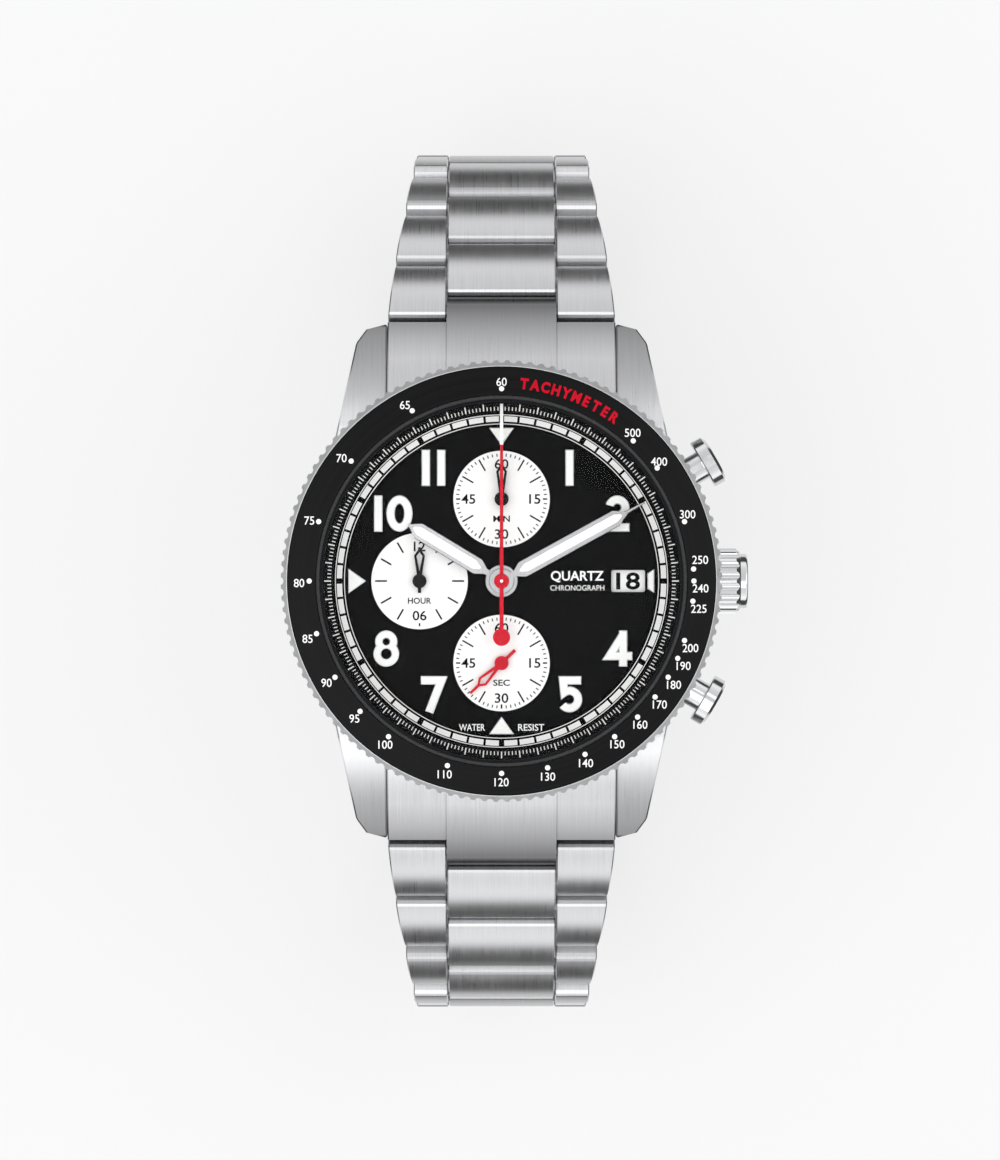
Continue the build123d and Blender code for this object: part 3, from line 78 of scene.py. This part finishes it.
class Mat:
    """A node material with one Principled shader, built up a node at a time."""

    def __init__(self, name, color, rough, metal=0.0, **inputs):
        self.m = bpy.data.materials.new(name)
        self.m.use_nodes = True
        self.t = self.m.node_tree
        self.p = self.t.nodes["Principled BSDF"]
        self.set("Base Color", (*color, 1.0))
        self.set("Roughness", rough)
        self.set("Metallic", metal)
        for k, v in inputs.items():
            self.set(k.replace("_", " "), v)
        self.place = self.node("ShaderNodeTexCoord").outputs["Object"]

    def set(self, socket, value):
        self.p.inputs[socket].default_value = value

    def node(self, kind, **props):
        n = self.t.nodes.new(kind)
        for k, v in props.items():
            setattr(n, k, v)
        return n

    def link(self, a, b):
        self.t.links.new(a, b)

    def math(self, op, a, b=0.0, c=None):
        n = self.node("ShaderNodeMath", operation=op)
        for i, v in enumerate((a, b) if c is None else (a, b, c)):
            if isinstance(v, (int, float)):
                n.inputs[i].default_value = v
            else:
                self.link(v, n.inputs[i])
        return n.outputs[0]

    def noise(self, scale, stretch=(1, 1, 1), detail=4.0, rough=0.55, place=None):
        mp = self.node("ShaderNodeMapping")
        mp.inputs["Scale"].default_value = stretch
        self.link(place or self.place, mp.inputs["Vector"])
        n = self.node("ShaderNodeTexNoise")
        n.inputs["Scale"].default_value = scale
        n.inputs["Detail"].default_value = detail
        n.inputs["Roughness"].default_value = rough
        self.link(mp.outputs[0], n.inputs["Vector"])
        return n.outputs["Fac"]

    def ring_noise(self, scale, centre=(0, 0, 0)):
        """Noise along circles about an axis parallel to Z, drawn out along them."""
        sub = self.node("ShaderNodeVectorMath", operation="SUBTRACT")
        self.link(self.place, sub.inputs[0])
        sub.inputs[1].default_value = centre
        xyz = self.node("ShaderNodeSeparateXYZ")
        self.link(sub.outputs[0], xyz.inputs[0])
        x, y = xyz.outputs[0], xyz.outputs[1]
        r = self.math("SQRT", self.math("ADD", self.math("MULTIPLY", x, x), self.math("MULTIPLY", y, y)))
        a = self.math("ARCTAN2", y, x)
        at = self.node("ShaderNodeCombineXYZ")
        self.link(r, at.inputs[0])
        self.link(self.math("MULTIPLY", self.math("SINE", a), RING_SPIN * MM), at.inputs[1])
        self.link(self.math("MULTIPLY", self.math("COSINE", a), RING_SPIN * MM), at.inputs[2])
        return self.noise(scale, detail=5.0, place=at.outputs[0])

    def band(self, fac, low, high, socket):
        """Drives a socket between two values by a factor, over its middle range."""
        n = self.node("ShaderNodeMapRange")
        for k, v in (("From Min", 0.3), ("From Max", 0.7), ("To Min", low), ("To Max", high)):
            n.inputs[k].default_value = v
        self.link(fac, n.inputs["Value"])
        self.link(n.outputs[0], self.p.inputs[socket])

    def tint(self, fac, a, b):
        """Drives the base colour between two colours by a factor, over its middle range."""
        n = self.node("ShaderNodeValToRGB")
        n.color_ramp.elements[0].position, n.color_ramp.elements[1].position = 0.3, 0.7
        n.color_ramp.elements[0].color = (*a, 1.0)
        n.color_ramp.elements[1].color = (*b, 1.0)
        self.link(fac, n.inputs[0])
        self.link(n.outputs[0], self.p.inputs["Base Color"])
        return n.outputs[0]

    def darken_tips(self, color, start, end, share):
        """Paints shade into a colour: darker with distance from the X axis, full at start, a share of
        itself at end.
        """
        xyz = self.node("ShaderNodeSeparateXYZ")
        self.link(self.place, xyz.inputs[0])
        n = self.node("ShaderNodeMapRange")
        for k, v in (("From Min", start), ("From Max", end), ("To Min", 1.0), ("To Max", share)):
            n.inputs[k].default_value = v
        self.link(self.math("ABSOLUTE", xyz.outputs[1]), n.inputs["Value"])
        dim = self.node("ShaderNodeVectorMath", operation="SCALE")
        self.link(color, dim.inputs[0])
        self.link(n.outputs[0], dim.inputs["Scale"])
        self.link(dim.outputs[0], self.p.inputs["Base Color"])

    def bump(self, fac, strength):
        n = self.node("ShaderNodeBump")
        n.inputs["Strength"].default_value = strength
        n.inputs["Distance"].default_value = 0.02 * MM
        self.link(fac, n.inputs["Height"])
        self.link(n.outputs[0], self.p.inputs["Normal"])


def brushed(name, stretch, color=STEEL, rough=(0.24, 0.40), strength=0.35, tip_shade=None):
    """Satin steel with fine brush lines along one direction and faint wear, plus painted shade away from
    the X axis where tip shade is given.
    """
    m = Mat(name, color, 0.3, 1.0)
    streak = m.noise(1.0, stretch, detail=6.0, rough=0.7)
    smear = m.noise(140.0, detail=3.0)
    both = m.math("ADD", m.math("MULTIPLY", streak, 0.8), m.math("MULTIPLY", smear, 0.2))
    m.band(both, *rough, "Roughness")
    shade = m.tint(both, tuple(c * 0.90 for c in color), tuple(min(1, c * 1.08) for c in color))
    # Painted shade: the colour darkens with distance from the X axis.
    if tip_shade:
        m.darken_tips(shade, *tip_shade)
    m.bump(streak, strength)
    return m.m


def make_materials():
    """Every material by name. Most names are the record's material slots."""
    lines = (9000, 160, 160)
    # steel_case and steel_end carry painted shade: the case darker towards the lug tips, the end links
    # darker towards their far ends.
    out = {"steel_along": brushed("steel_along", lines),
           "steel_case": brushed("steel_case", lines, tip_shade=(0.0165, 0.0245, 0.42)),
           "steel_end": brushed("steel_end", lines, tip_shade=(0.0215, 0.0266, 0.28))}
    m = Mat("steel_round", (0.60, 0.605, 0.615), 0.3, 1.0)
    ring = m.ring_noise(9000.0)
    m.band(ring, 0.22, 0.38, "Roughness")
    m.tint(ring, (0.54, 0.545, 0.555), (0.66, 0.665, 0.675))
    m.bump(ring, 0.3)
    out["steel_round"] = m.m

    m = Mat("steel_coin", (0.72, 0.725, 0.73), 0.45, 1.0)
    m.band(m.noise(900.0, detail=5.0), 0.40, 0.52, "Roughness")
    m.tint(m.noise(300.0), (0.68, 0.685, 0.69), (0.75, 0.755, 0.76))
    out["steel_coin"] = m.m

    m = Mat("steel_polished", (0.68, 0.685, 0.69), 0.1, 1.0)
    wear = m.noise(700.0, detail=5.0)
    m.band(wear, 0.07, 0.17, "Roughness")
    m.tint(m.noise(90.0), (0.64, 0.645, 0.65), (0.71, 0.715, 0.72))
    m.bump(wear, 0.04)
    out["polished_steel"] = m.m

    m = Mat("hand_steel", (0.42, 0.42, 0.43), 0.2, 1.0)
    m.band(m.noise(1.0, (6000, 300, 300)), 0.16, 0.30, "Roughness")
    m.tint(m.noise(200.0), (0.36, 0.36, 0.37), (0.46, 0.46, 0.47))
    out["hand_steel"] = m.m

    m = Mat("insert_black", (0.004, 0.004, 0.0045), 0.34, Specular_IOR_Level=0.09)
    ring = m.ring_noise(11000.0)
    m.band(ring, 0.26, 0.44, "Roughness")
    m.tint(ring, (0.0025, 0.0025, 0.003), (0.007, 0.007, 0.0075))
    m.bump(ring, 0.35)
    out["insert_black"] = m.m

    m = Mat("ring_black", (0.004, 0.004, 0.0045), 0.42, Specular_IOR_Level=0.04)
    m.tint(m.noise(2500.0), (0.003, 0.003, 0.0035), (0.006, 0.006, 0.0065))
    m.band(m.noise(900.0), 0.36, 0.48, "Roughness")
    out["ring_black"] = m.m

    m = Mat("dial_black", (0.002, 0.002, 0.0022), 0.38, Specular_IOR_Level=0.02)
    grain = m.noise(9000.0, detail=6.0)
    m.tint(grain, (0.0010, 0.0010, 0.0012), (0.0028, 0.0028, 0.003))
    m.band(grain, 0.32, 0.46, "Roughness")
    m.bump(grain, 0.10)
    out["dial_black"] = m.m

    m = Mat("white_enamel", (0.86, 0.86, 0.85), 0.35)
    grain = m.noise(5000.0)
    m.tint(grain, (0.83, 0.83, 0.82), (0.88, 0.88, 0.87))
    m.band(grain, 0.30, 0.42, "Roughness")
    m.bump(grain, 0.05)
    out["white_enamel"] = m.m

    m = Mat("lume_white", (0.87, 0.88, 0.85), 0.55)
    grain = m.noise(12000.0, detail=6.0)
    m.tint(grain, (0.82, 0.83, 0.80), (0.90, 0.91, 0.885))
    m.bump(grain, 0.25)
    out["lume_white"] = m.m

    for name, a, b, gloss in (("hand_red", (0.50, 0.004, 0.016), (0.58, 0.007, 0.024), 0.16),
                              ("hand_black", (0.005, 0.005, 0.006), (0.009, 0.009, 0.010), 0.10),
                              ("print_red", (0.48, 0.004, 0.016), (0.56, 0.007, 0.022), 0.05),
                              ("print_black", (0.004, 0.004, 0.005), (0.007, 0.007, 0.008), 0.04)):
        m = Mat(name, a, 0.28, Specular_IOR_Level=gloss)
        m.tint(m.noise(1500.0), a, b)
        m.band(m.noise(3000.0), 0.26, 0.40, "Roughness")
        out[name] = m.m

    m = Mat("crystal_glass", (0.97, 0.98, 0.98), 0.02, 1.0)
    m.band(m.noise(60.0), 0.010, 0.035, "Roughness")
    m.set("Alpha", 0.002)
    out["crystal_glass"] = m.m

    m = Mat("crystal_edge", (0.02, 0.022, 0.024), 0.12, Specular_IOR_Level=0.2)
    m.band(m.noise(300.0), 0.05, 0.14, "Roughness")
    m.set("Alpha", 0.5)
    out["crystal_edge"] = m.m

    m = Mat("seal_rubber", (0.02, 0.02, 0.02), 0.7)
    m.tint(m.noise(3000.0), (0.014, 0.014, 0.014), (0.03, 0.03, 0.03))
    m.bump(m.noise(6000.0), 0.2)
    out["seal_rubber"] = m.m

    m = Mat("movement_brass", (0.70, 0.60, 0.38), 0.3, 1.0)
    ring = m.ring_noise(5000.0, (0.0055, 0.0, 0.0))
    m.band(ring, 0.22, 0.40, "Roughness")
    m.tint(ring, (0.62, 0.53, 0.33), (0.76, 0.66, 0.44))
    out["movement_brass"] = m.m

    m = Mat("coil_copper", (0.60, 0.26, 0.12), 0.3, 0.9)
    turns = m.noise(1.0, (12000, 12000, 300), detail=2.0)
    m.tint(turns, (0.42, 0.16, 0.07), (0.72, 0.34, 0.16))
    m.bump(turns, 0.5)
    out["coil_copper"] = m.m

    out["cell_steel"] = brushed("cell_steel", (5000, 500, 500), (0.66, 0.66, 0.65), (0.2, 0.34), 0.2)

    m = Mat("board_green", (0.03, 0.14, 0.07), 0.4)
    cells = m.node("ShaderNodeTexVoronoi", feature="DISTANCE_TO_EDGE")
    cells.inputs["Scale"].default_value = 900.0
    m.link(m.place, cells.inputs["Vector"])
    m.tint(m.math("MULTIPLY", cells.outputs["Distance"], 5.0), (0.05, 0.22, 0.11), (0.02, 0.11, 0.05))
    out["board_green"] = m.m

    m = Mat("holder_plastic", (0.66, 0.66, 0.63), 0.5)
    m.tint(m.noise(800.0), (0.62, 0.62, 0.59), (0.70, 0.70, 0.67))
    m.bump(m.noise(3000.0), 0.1)
    out["holder_plastic"] = m.m
    return out


mats = make_materials()
BY_SLOT = {"brushed_steel": "steel_along"}


def finish_of(node):
    return mats[BY_SLOT.get(slot_of[node], slot_of[node])]


def by_face(obj, choose, *names):
    """Gives each face of a CAD mesh one of several materials."""
    obj.data.materials.clear()
    for n in names:
        obj.data.materials.append(mats[n])
    for p in obj.data.polygons:
        p.material_index = choose(p.center / MM, p.normal)


def case_finish(centre, normal):
    """Turned on the round sides beside the crown and opposite it, brushed elsewhere."""
    on_wall = abs(normal.z) < 0.5 and hypot(centre.x, centre.y) > 19.5
    return 1 if on_wall and abs(centre.x) > 11 and abs(centre.y) < 14 else 0


def bezel_finish(centre, normal):
    """Black inside the crystal's seat, turned steel on top, coin edge steel on the flank."""
    if hypot(centre.x, centre.y) < 17.9:
        return 2
    return 1 if normal.z > 0.9 else 0


for node, obj in nodes.items():
    obj.data.materials.clear()
    obj.data.materials.append(finish_of(node))

# The case and the end links take the steels with painted shade towards their tips.
by_face(nodes["case_middle"], case_finish, "steel_case", "steel_round")
by_face(nodes["end_links"], lambda c, n: 0, "steel_end")
by_face(nodes["caseback"], lambda c, n: 0 if n.z < -0.9 else 1, "steel_round", "polished_steel")
by_face(nodes["bezel"], bezel_finish, "steel_coin", "steel_round", "ring_black")
by_face(nodes["crystal"], lambda c, n: 0 if abs(n.z) > 0.9 else 1, "crystal_glass", "crystal_edge")


# ---------------- flat printing ----------------

def mesh_piece(name, polys, material, body, thick=0.0):
    """One object from polygons, each a list of (x, y, z) in millimetres.

    A thickness makes it a raised slab.
    """
    bm = bmesh.new()
    for poly in polys:
        bm.faces.new([bm.verts.new(Vector(p) * MM) for p in poly])
    bmesh.ops.recalc_face_normals(bm, faces=bm.faces)
    for f in bm.faces:
        if f.normal.z < 0:
            f.normal_flip()
    if thick:
        up = bmesh.ops.extrude_face_region(bm, geom=bm.faces[:])
        for v in (g for g in up["geom"] if isinstance(g, bmesh.types.BMVert)):
            v.co.z += thick * MM
        bmesh.ops.recalc_face_normals(bm, faces=bm.faces)
    me = bpy.data.meshes.new(name)
    bm.to_mesh(me)
    bm.free()
    me.materials.append(material)
    obj = bpy.data.objects.new(name, me)
    bpy.context.scene.collection.objects.link(obj)
    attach(obj, body)
    return obj


def glyphs(text, height, centre, turn=0.0, squeeze=1.0, weight=0.0, width=None):
    """The built-in font's letters as polygons in 2-D millimetres, about a centre.

    The height is that of the whole word. A width, where it's given, replaces the squeeze.
    """
    curve = bpy.data.curves.new("glyphs", "FONT")
    curve.body = text
    curve.align_x, curve.align_y = "CENTER", "CENTER"
    curve.size = 1.0
    curve.offset = weight
    curve.resolution_u = 4
    obj = bpy.data.objects.new("glyphs", curve)
    bpy.context.scene.collection.objects.link(obj)
    bpy.context.view_layer.update()
    me = bpy.data.meshes.new_from_object(obj.evaluated_get(bpy.context.evaluated_depsgraph_get()))
    xs, ys = [v.co.x for v in me.vertices], [v.co.y for v in me.vertices]
    mid, k = ((min(xs) + max(xs)) / 2, (min(ys) + max(ys)) / 2), height / (max(ys) - min(ys))
    if width:
        squeeze = width / (max(xs) - min(xs)) / k
    c, s = cos(turn), sin(turn)
    out = []
    for p in me.polygons:
        pts = []
        for i in p.vertices:
            x = (me.vertices[i].co.x - mid[0]) * k * squeeze
            y = (me.vertices[i].co.y - mid[1]) * k
            pts.append((centre[0] + x * c - y * s, centre[1] + x * s + y * c))
        out.append(pts)
    bpy.data.objects.remove(obj)
    bpy.data.curves.remove(curve)
    bpy.data.meshes.remove(me)
    return out


def tick(angle, r0, r1, width, centre=(0, 0)):
    """A radial line between two radii, at an angle clockwise from 12."""
    a = radians(angle)
    ux, uy = sin(a), cos(a)
    w = width / 2
    return [(centre[0] + ux * r - uy * side, centre[1] + uy * r + ux * side)
            for r, side in ((r0, w), (r1, w), (r1, -w), (r0, -w))]


def disc(x, y, r, n=20):
    """A filled circle as one polygon."""
    return [(x + r * cos(2 * pi * i / n), y + r * sin(2 * pi * i / n)) for i in range(n)]


def arc_band(r0, r1, a0, a1, steps):
    """Part of a ring about the dial's centre, between two angles clockwise from 12, as quads."""
    out = []
    for i in range(steps):
        p, q = radians(a0 + (a1 - a0) * i / steps), radians(a0 + (a1 - a0) * (i + 1) / steps)
        out.append([(r * sin(t), r * cos(t)) for r, t in ((r0, p), (r1, p), (r1, q), (r0, q))])
    return out


def lay(polys, height):
    """Lifts 2-D polygons onto a surface: height is a number or a function of the radius."""
    return [[(x, y, height(hypot(x, y)) if callable(height) else height) for x, y in p] for p in polys]


def polar(angle, r):
    """A point at an angle clockwise from 12."""
    return (r * sin(radians(angle)), r * cos(radians(angle)))


# Heights and radii of the printed surfaces in millimetres, from the CAD boxes and the part's own sizes.
top = {n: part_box(n)[1][2] / MM for n in nodes}
PRINT_LIFT = 0.012          # printing over the surface under it
DIAL, CHAPTER_TOP, INSERT_TOP = top["dial"], top["chapter_ring"], top["bezel_insert"]
INSERT_IN, INSERT_OUT = 17.81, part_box("bezel_insert")[1][0] / MM
INSERT_ROUND, INSERT_FALL = 0.06, 0.62
CHAPTER_IN, CHAPTER_OUT, CHAPTER_FOOT = 16.35, 17.12, 0.51
CHAPTER_LIFT = 0.05         # more than elsewhere, because the ring is steep


def insert_z(r):
    """Height of print on the bezel insert, which falls outwards."""
    run = INSERT_OUT - INSERT_ROUND - INSERT_IN
    return INSERT_TOP - INSERT_FALL * (r - INSERT_IN) / run + PRINT_LIFT


def chapter_z(r):
    """Height of print on the chapter ring, which rises outwards."""
    t = (r - CHAPTER_IN) / (CHAPTER_OUT - CHAPTER_IN)
    return DIAL + CHAPTER_FOOT + t * (CHAPTER_TOP - DIAL - CHAPTER_FOOT) + CHAPTER_LIFT


# Bezel insert: a dot for each speed of the tachymeter, and where its number's centre is from the dot.
DOT_RING, DOT_R = 18.38, 0.25
OFFSETS = {60: (0, .66), 500: (-.05, .77), 400: (.18, .61), 300: (.3, .7), 250: (.64, .87),
           240: (.64, -.7), 225: (.57, -.73), 200: (.57, -.73), 190: (.57, -.73),
           180: (.57, -.73), 170: (.46, -.73), 160: (.27, -.73), 150: (.27, -.73),
           140: (.1, -.85), 130: (.05, -.85), 120: (0, -.85), 110: (-.26, -.84),
           100: (-.3, -.77), 95: (-.55, -.7), 90: (-.82, -.54), 85: (-.87, -.49),
           80: (-.98, -.19), 75: (-.9, .1), 70: (-.93, .29), 65: (-.7, .55)}
scale = []
for value, (dx, dy) in OFFSETS.items():
    x, y = polar(360.0 * 60 / value, DOT_RING)
    scale.append(disc(x, y, DOT_R))
    scale += glyphs(str(value), 0.80, (x + dx, y + dy), weight=0.004, squeeze=0.94)
mesh_piece("insert_scale", lay(scale, insert_z), mats["white_enamel"], "case")
word = []
LETTERS = "TACHYMETER"
FIRST, LAST, WORD_RING = 6.6, 34.6, 18.98
for i, ch in enumerate(LETTERS):
    a = FIRST + (LAST - FIRST) * i / (len(LETTERS) - 1)
    word += glyphs(ch, 1.08, polar(a, WORD_RING), -radians(a), weight=0.045, squeeze=0.86)
mesh_piece("insert_word", lay(word, insert_z), mats["print_red"], "case")

# Chapter ring: fine ticks, five to the second.
SECOND_TICK, FIFTH_TICK = (16.40, 17.02, 0.12), (16.40, 16.74, 0.09)
fine = [tick(i * 1.2, *(FIFTH_TICK if i % 5 else SECOND_TICK)) for i in range(300)]
mesh_piece("chapter_ticks", lay(fine, chapter_z), mats["white_enamel"], "case")

# Dial: railway minute track, with wider gaps in degrees at the fives, between two thin rings.
FIVE_GAP, ONE_GAP = 0.95, 0.42
track = []
for i in range(60):
    before = ONE_GAP if i % 5 else FIVE_GAP
    after = ONE_GAP if (i + 1) % 5 else FIVE_GAP
    track += arc_band(15.36, 15.88, 6 * i + before, 6 * (i + 1) - after, 4)
for inner, outer in ((15.97, 16.05), (15.10, 15.17)):
    track += arc_band(inner, outer, 0, 360, 180)
mesh_piece("dial_track", lay(track, DIAL + PRINT_LIFT), mats["white_enamel"], "case")
words = glyphs("QUARTZ", 1.12, (7.3, 0.42), weight=0.02, width=5.1)
words += glyphs("CHRONOGRAPH", 0.52, (7.3, -0.66), weight=0.002, width=5.2)
for text, x in (("WATER", -2.85), ("RESIST", 2.85)):
    words += glyphs(text, 0.66, (x, -14.1), weight=0.01, width=2.5)
mesh_piece("dial_words", lay(words, DIAL + PRINT_LIFT), mats["white_enamel"], "case")

# Small dials. A kind of tick is its inner radius, outer radius and width; ticks beside a label are short.
SUB_OFFSET = 7.9
SUBS = {"MIN": (0, SUB_OFFSET), "HOUR": (-SUB_OFFSET, 0), "SEC": (0, -SUB_OFFSET)}
HOUR_SHORT, HOUR_LONG = (4.05, 4.36, 0.14), (3.14, 4.28, 0.16)
SHORT, LONG, FINE = (3.98, 4.39, 0.15), (3.14, 4.36, 0.15), (4.10, 4.39, 0.10)
SUB_Z = top["subdial_plates"] + 0.010
print_black = []
for name, (cx, cy) in SUBS.items():
    if name == "HOUR":
        for h in range(12):
            print_black.append(tick(30 * h, *(HOUR_LONG if h % 6 else HOUR_SHORT), (cx, cy)))
        labels = [("12", (0, 3.33)), ("06", (0, -3.33))]
    else:
        for m in range(60):
            kind = FINE if m % 5 else LONG if m % 15 else SHORT
            print_black.append(tick(6 * m, *kind, (cx, cy)))
        labels = [("60", (0, 3.38)), ("15", (3.2, 0)), ("30", (0, -3.38)), ("45", (-3.2, 0))]
    for text, (dx, dy) in labels:
        print_black += glyphs(text, 0.94, (cx + dx, cy + dy), weight=0.012, squeeze=1.08)
    print_black += glyphs(name, 0.60, (cx, cy - 1.9), weight=0.018, width=2.25 if name == "HOUR" else 1.6)
mesh_piece("subdial_print", lay(print_black, SUB_Z), mats["print_black"], "case")

# Date disc: one number a day, with one showing at 3 o'clock.
DATE_RING, DAYS, SHOWN = 12.2, 31, 18
dates = []
for d in range(1, DAYS + 1):
    a = 2 * pi * (d - SHOWN) / DAYS
    at = (DATE_RING * cos(a), DATE_RING * sin(a))
    dates += glyphs(str(d), 1.66, at, a, weight=0.022, width=2.3 if d > 9 else 1.1)
dates = lay(dates, top["date_disc"] + 0.008)
mesh_piece("date_numbers", dates, mats["print_black"], "date_disc")


# ---------------- hands ----------------

# Angle at rest clockwise from 12, length, bare needle at the tip, hub, half width of the fill, top.
BATONS = {"hour_hand": (301.2, 10.5, 0.25, 1.57, 0.44, 7.85),
          "minute_hand": (61.2, 15.7, 2.2, 1.22, 0.40, 8.25)}
CHRONO_Z, CHRONO_T = 8.5, 0.12


def turned_polys(polys, angle):
    """2-D polygons drawn for 12 o'clock, turned clockwise about the dial's centre."""
    a = radians(-angle)
    c, s = cos(a), sin(a)
    return [[(x * c - y * s, x * s + y * c) for x, y in p] for p in polys]


def tapered(length, needle, hub, half):
    """Luminous centre of a baton hand, inside its frame, for 12 o'clock."""
    start, end = hub + 1.35, length - needle - 0.98
    return [[(-0.10, start - 0.55), (0.10, start - 0.55), (half, start + 0.1), (half, end),
             (0.12, end + 0.62), (-0.12, end + 0.62), (-half, end), (-half, start + 0.1)]]


for node, (angle, length, needle, hub, half, blade_top) in BATONS.items():
    fill = lay(turned_polys(tapered(length, needle, hub, half), angle), blade_top - 0.01)
    mesh_piece(node + "_lume", fill, mats["lume_white"], node, thick=0.05)
tip = lay([[(-0.17, 13.1), (0.17, 13.1), (0.145, 17.02), (-0.145, 17.02)]], CHRONO_Z + CHRONO_T + 0.002)
mesh_piece("chrono_tip", tip, mats["lume_white"], "chrono_seconds_hand", thick=0.03)
pin = lay([disc(0, 0, 0.15, 24)], CHRONO_Z + 0.25)
mesh_piece("chrono_pin", pin, mats["polished_steel"], "chrono_seconds_hand", thick=0.12)


# Pusher springs: on the watch the outer end moves with the button; here each CAD coil is replaced by a
# copy of itself, in the same place.
PUSHER_ANGLE = 30.0
for name, angle in (("pusher_2", PUSHER_ANGLE), ("pusher_4", -PUSHER_ANGLE)):
    coil_node = nodes[name + "_spring"]
    coil = bpy.data.objects.new(name + "_coil", coil_node.data.copy())
    coil.matrix_world = coil_node.matrix_world.copy()
    bpy.context.scene.collection.objects.link(coil)
    a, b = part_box(name + "_spring")
    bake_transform(coil)
    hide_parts(name + "_spring")


# ---------------- light, floor, camera ----------------

scene = bpy.context.scene
scene.view_settings.view_transform = "Standard"
floor_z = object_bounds()[0][2]
floor_mat = Mat("floor", (0.30, 0.30, 0.30), 0.9)
floor_mat.set("Emission Color", (1.0, 1.0, 1.0, 1.0))
floor_mat.set("Emission Strength", 0.575)
floor_mat.set("Specular IOR Level", 0.0)


def plane(name, height, material):
    """A level staged square under the watch."""
    bpy.ops.mesh.primitive_plane_add(size=4.0, location=(0, 0, height))
    obj = bpy.context.object
    obj.name = name
    obj.data.materials.append(material)
    return obj


plane("floor", floor_z - 0.0005, floor_mat.m)

# A studio card on the floor, seen only in reflections: pale under the watch and dark beyond it, which
# gives the steel its contrast.
CARD_X, CARD_Y = 0.058, 0.067
card_mat = Mat("card", (0.02, 0.02, 0.02), 0.9, Emission_Strength=0.85)
card_mat.set("Specular IOR Level", 0.0)
split = card_mat.node("ShaderNodeSeparateXYZ")
card_mat.link(card_mat.place, split.inputs[0])
out_x = card_mat.math("DIVIDE", card_mat.math("ABSOLUTE", split.outputs[0]), CARD_X)
out_y = card_mat.math("DIVIDE", card_mat.math("ABSOLUTE", split.outputs[1]), CARD_Y)
glow = card_mat.node("ShaderNodeValToRGB")
glow.color_ramp.interpolation = "EASE"
for e, at, v in zip(glow.color_ramp.elements, (0.48, 0.64), (1.0, 0.05)):
    e.position, e.color = at, (v, v, v, 1.0)
card_mat.link(card_mat.math("MULTIPLY", card_mat.math("MAXIMUM", out_x, out_y), 0.5), glow.inputs[0])
card_mat.link(glow.outputs[0], card_mat.p.inputs["Emission Color"])
card = plane("card", floor_z - 0.0004, card_mat.m)
card.visible_camera = card.visible_diffuse = card.visible_shadow = card.visible_transmission = False


def area(name, place, size, power):
    """A square white lamp that faces the origin."""
    data = bpy.data.lights.new(name, "AREA")
    data.shape = "RECTANGLE"
    data.size, data.size_y = size, size
    data.energy = power
    lamp = bpy.data.objects.new(name, data)
    lamp.location = place
    lamp.rotation_euler = (-Vector(place)).to_track_quat("-Z", "Y").to_euler()
    scene.collection.objects.link(lamp)


area("key", (-0.35, -0.20, 0.90), 1.0, 3.4)
area("fill", (0.60, 0.10, 0.80), 0.8, 1.6)

# Sky: dark below the horizon and brightest just over it, a little brighter towards 6 o'clock.
world = bpy.data.worlds.new("studio")
world.use_nodes = True
scene.world = world
wt = world.node_tree
coord = wt.nodes.new("ShaderNodeTexCoord")
split = wt.nodes.new("ShaderNodeSeparateXYZ")
wt.links.new(coord.outputs["Generated"], split.inputs[0])
ramp = wt.nodes.new("ShaderNodeValToRGB")
SKY = ((0.0, 0.08), (0.50, 0.10), (0.53, 1.10), (0.62, 1.30), (0.80, 0.96), (1.0, 0.80))
while len(ramp.color_ramp.elements) < len(SKY):
    ramp.color_ramp.elements.new(0.5)
for e, (at, v) in zip(ramp.color_ramp.elements, SKY):
    e.position, e.color = at, (v, v, v * 1.005, 1)
rise = wt.nodes.new("ShaderNodeMapRange")
rise.inputs["From Min"].default_value = -1.0
wt.links.new(split.outputs["Z"], rise.inputs["Value"])
wt.links.new(rise.outputs[0], ramp.inputs[0])
lean = wt.nodes.new("ShaderNodeMapRange")
lean.inputs["From Min"].default_value = -1.0
lean.inputs["To Min"].default_value, lean.inputs["To Max"].default_value = 1.10, 0.92
wt.links.new(split.outputs["Y"], lean.inputs["Value"])
shade = wt.nodes.new("ShaderNodeVectorMath")
shade.operation = "SCALE"
wt.links.new(ramp.outputs[0], shade.inputs[0])
wt.links.new(lean.outputs[0], shade.inputs["Scale"])
wt.links.new(shade.outputs[0], wt.nodes["Background"].inputs["Color"])
wt.nodes["Background"].inputs["Strength"].default_value = 1.0

cam_data = bpy.data.cameras.new("camera")
cam_data.sensor_fit = "HORIZONTAL"
DISTANCE = 0.45
FIELD = 0.0957              # width seen at the bezel
BEZEL_HEIGHT = 0.010
cam_data.lens = cam_data.sensor_width * DISTANCE / FIELD
cam_data.clip_start = 0.01
camera = bpy.data.objects.new("camera", cam_data)
camera.location = (-0.00015, 0.0001, BEZEL_HEIGHT + DISTANCE)
scene.collection.objects.link(camera)
scene.camera = camera
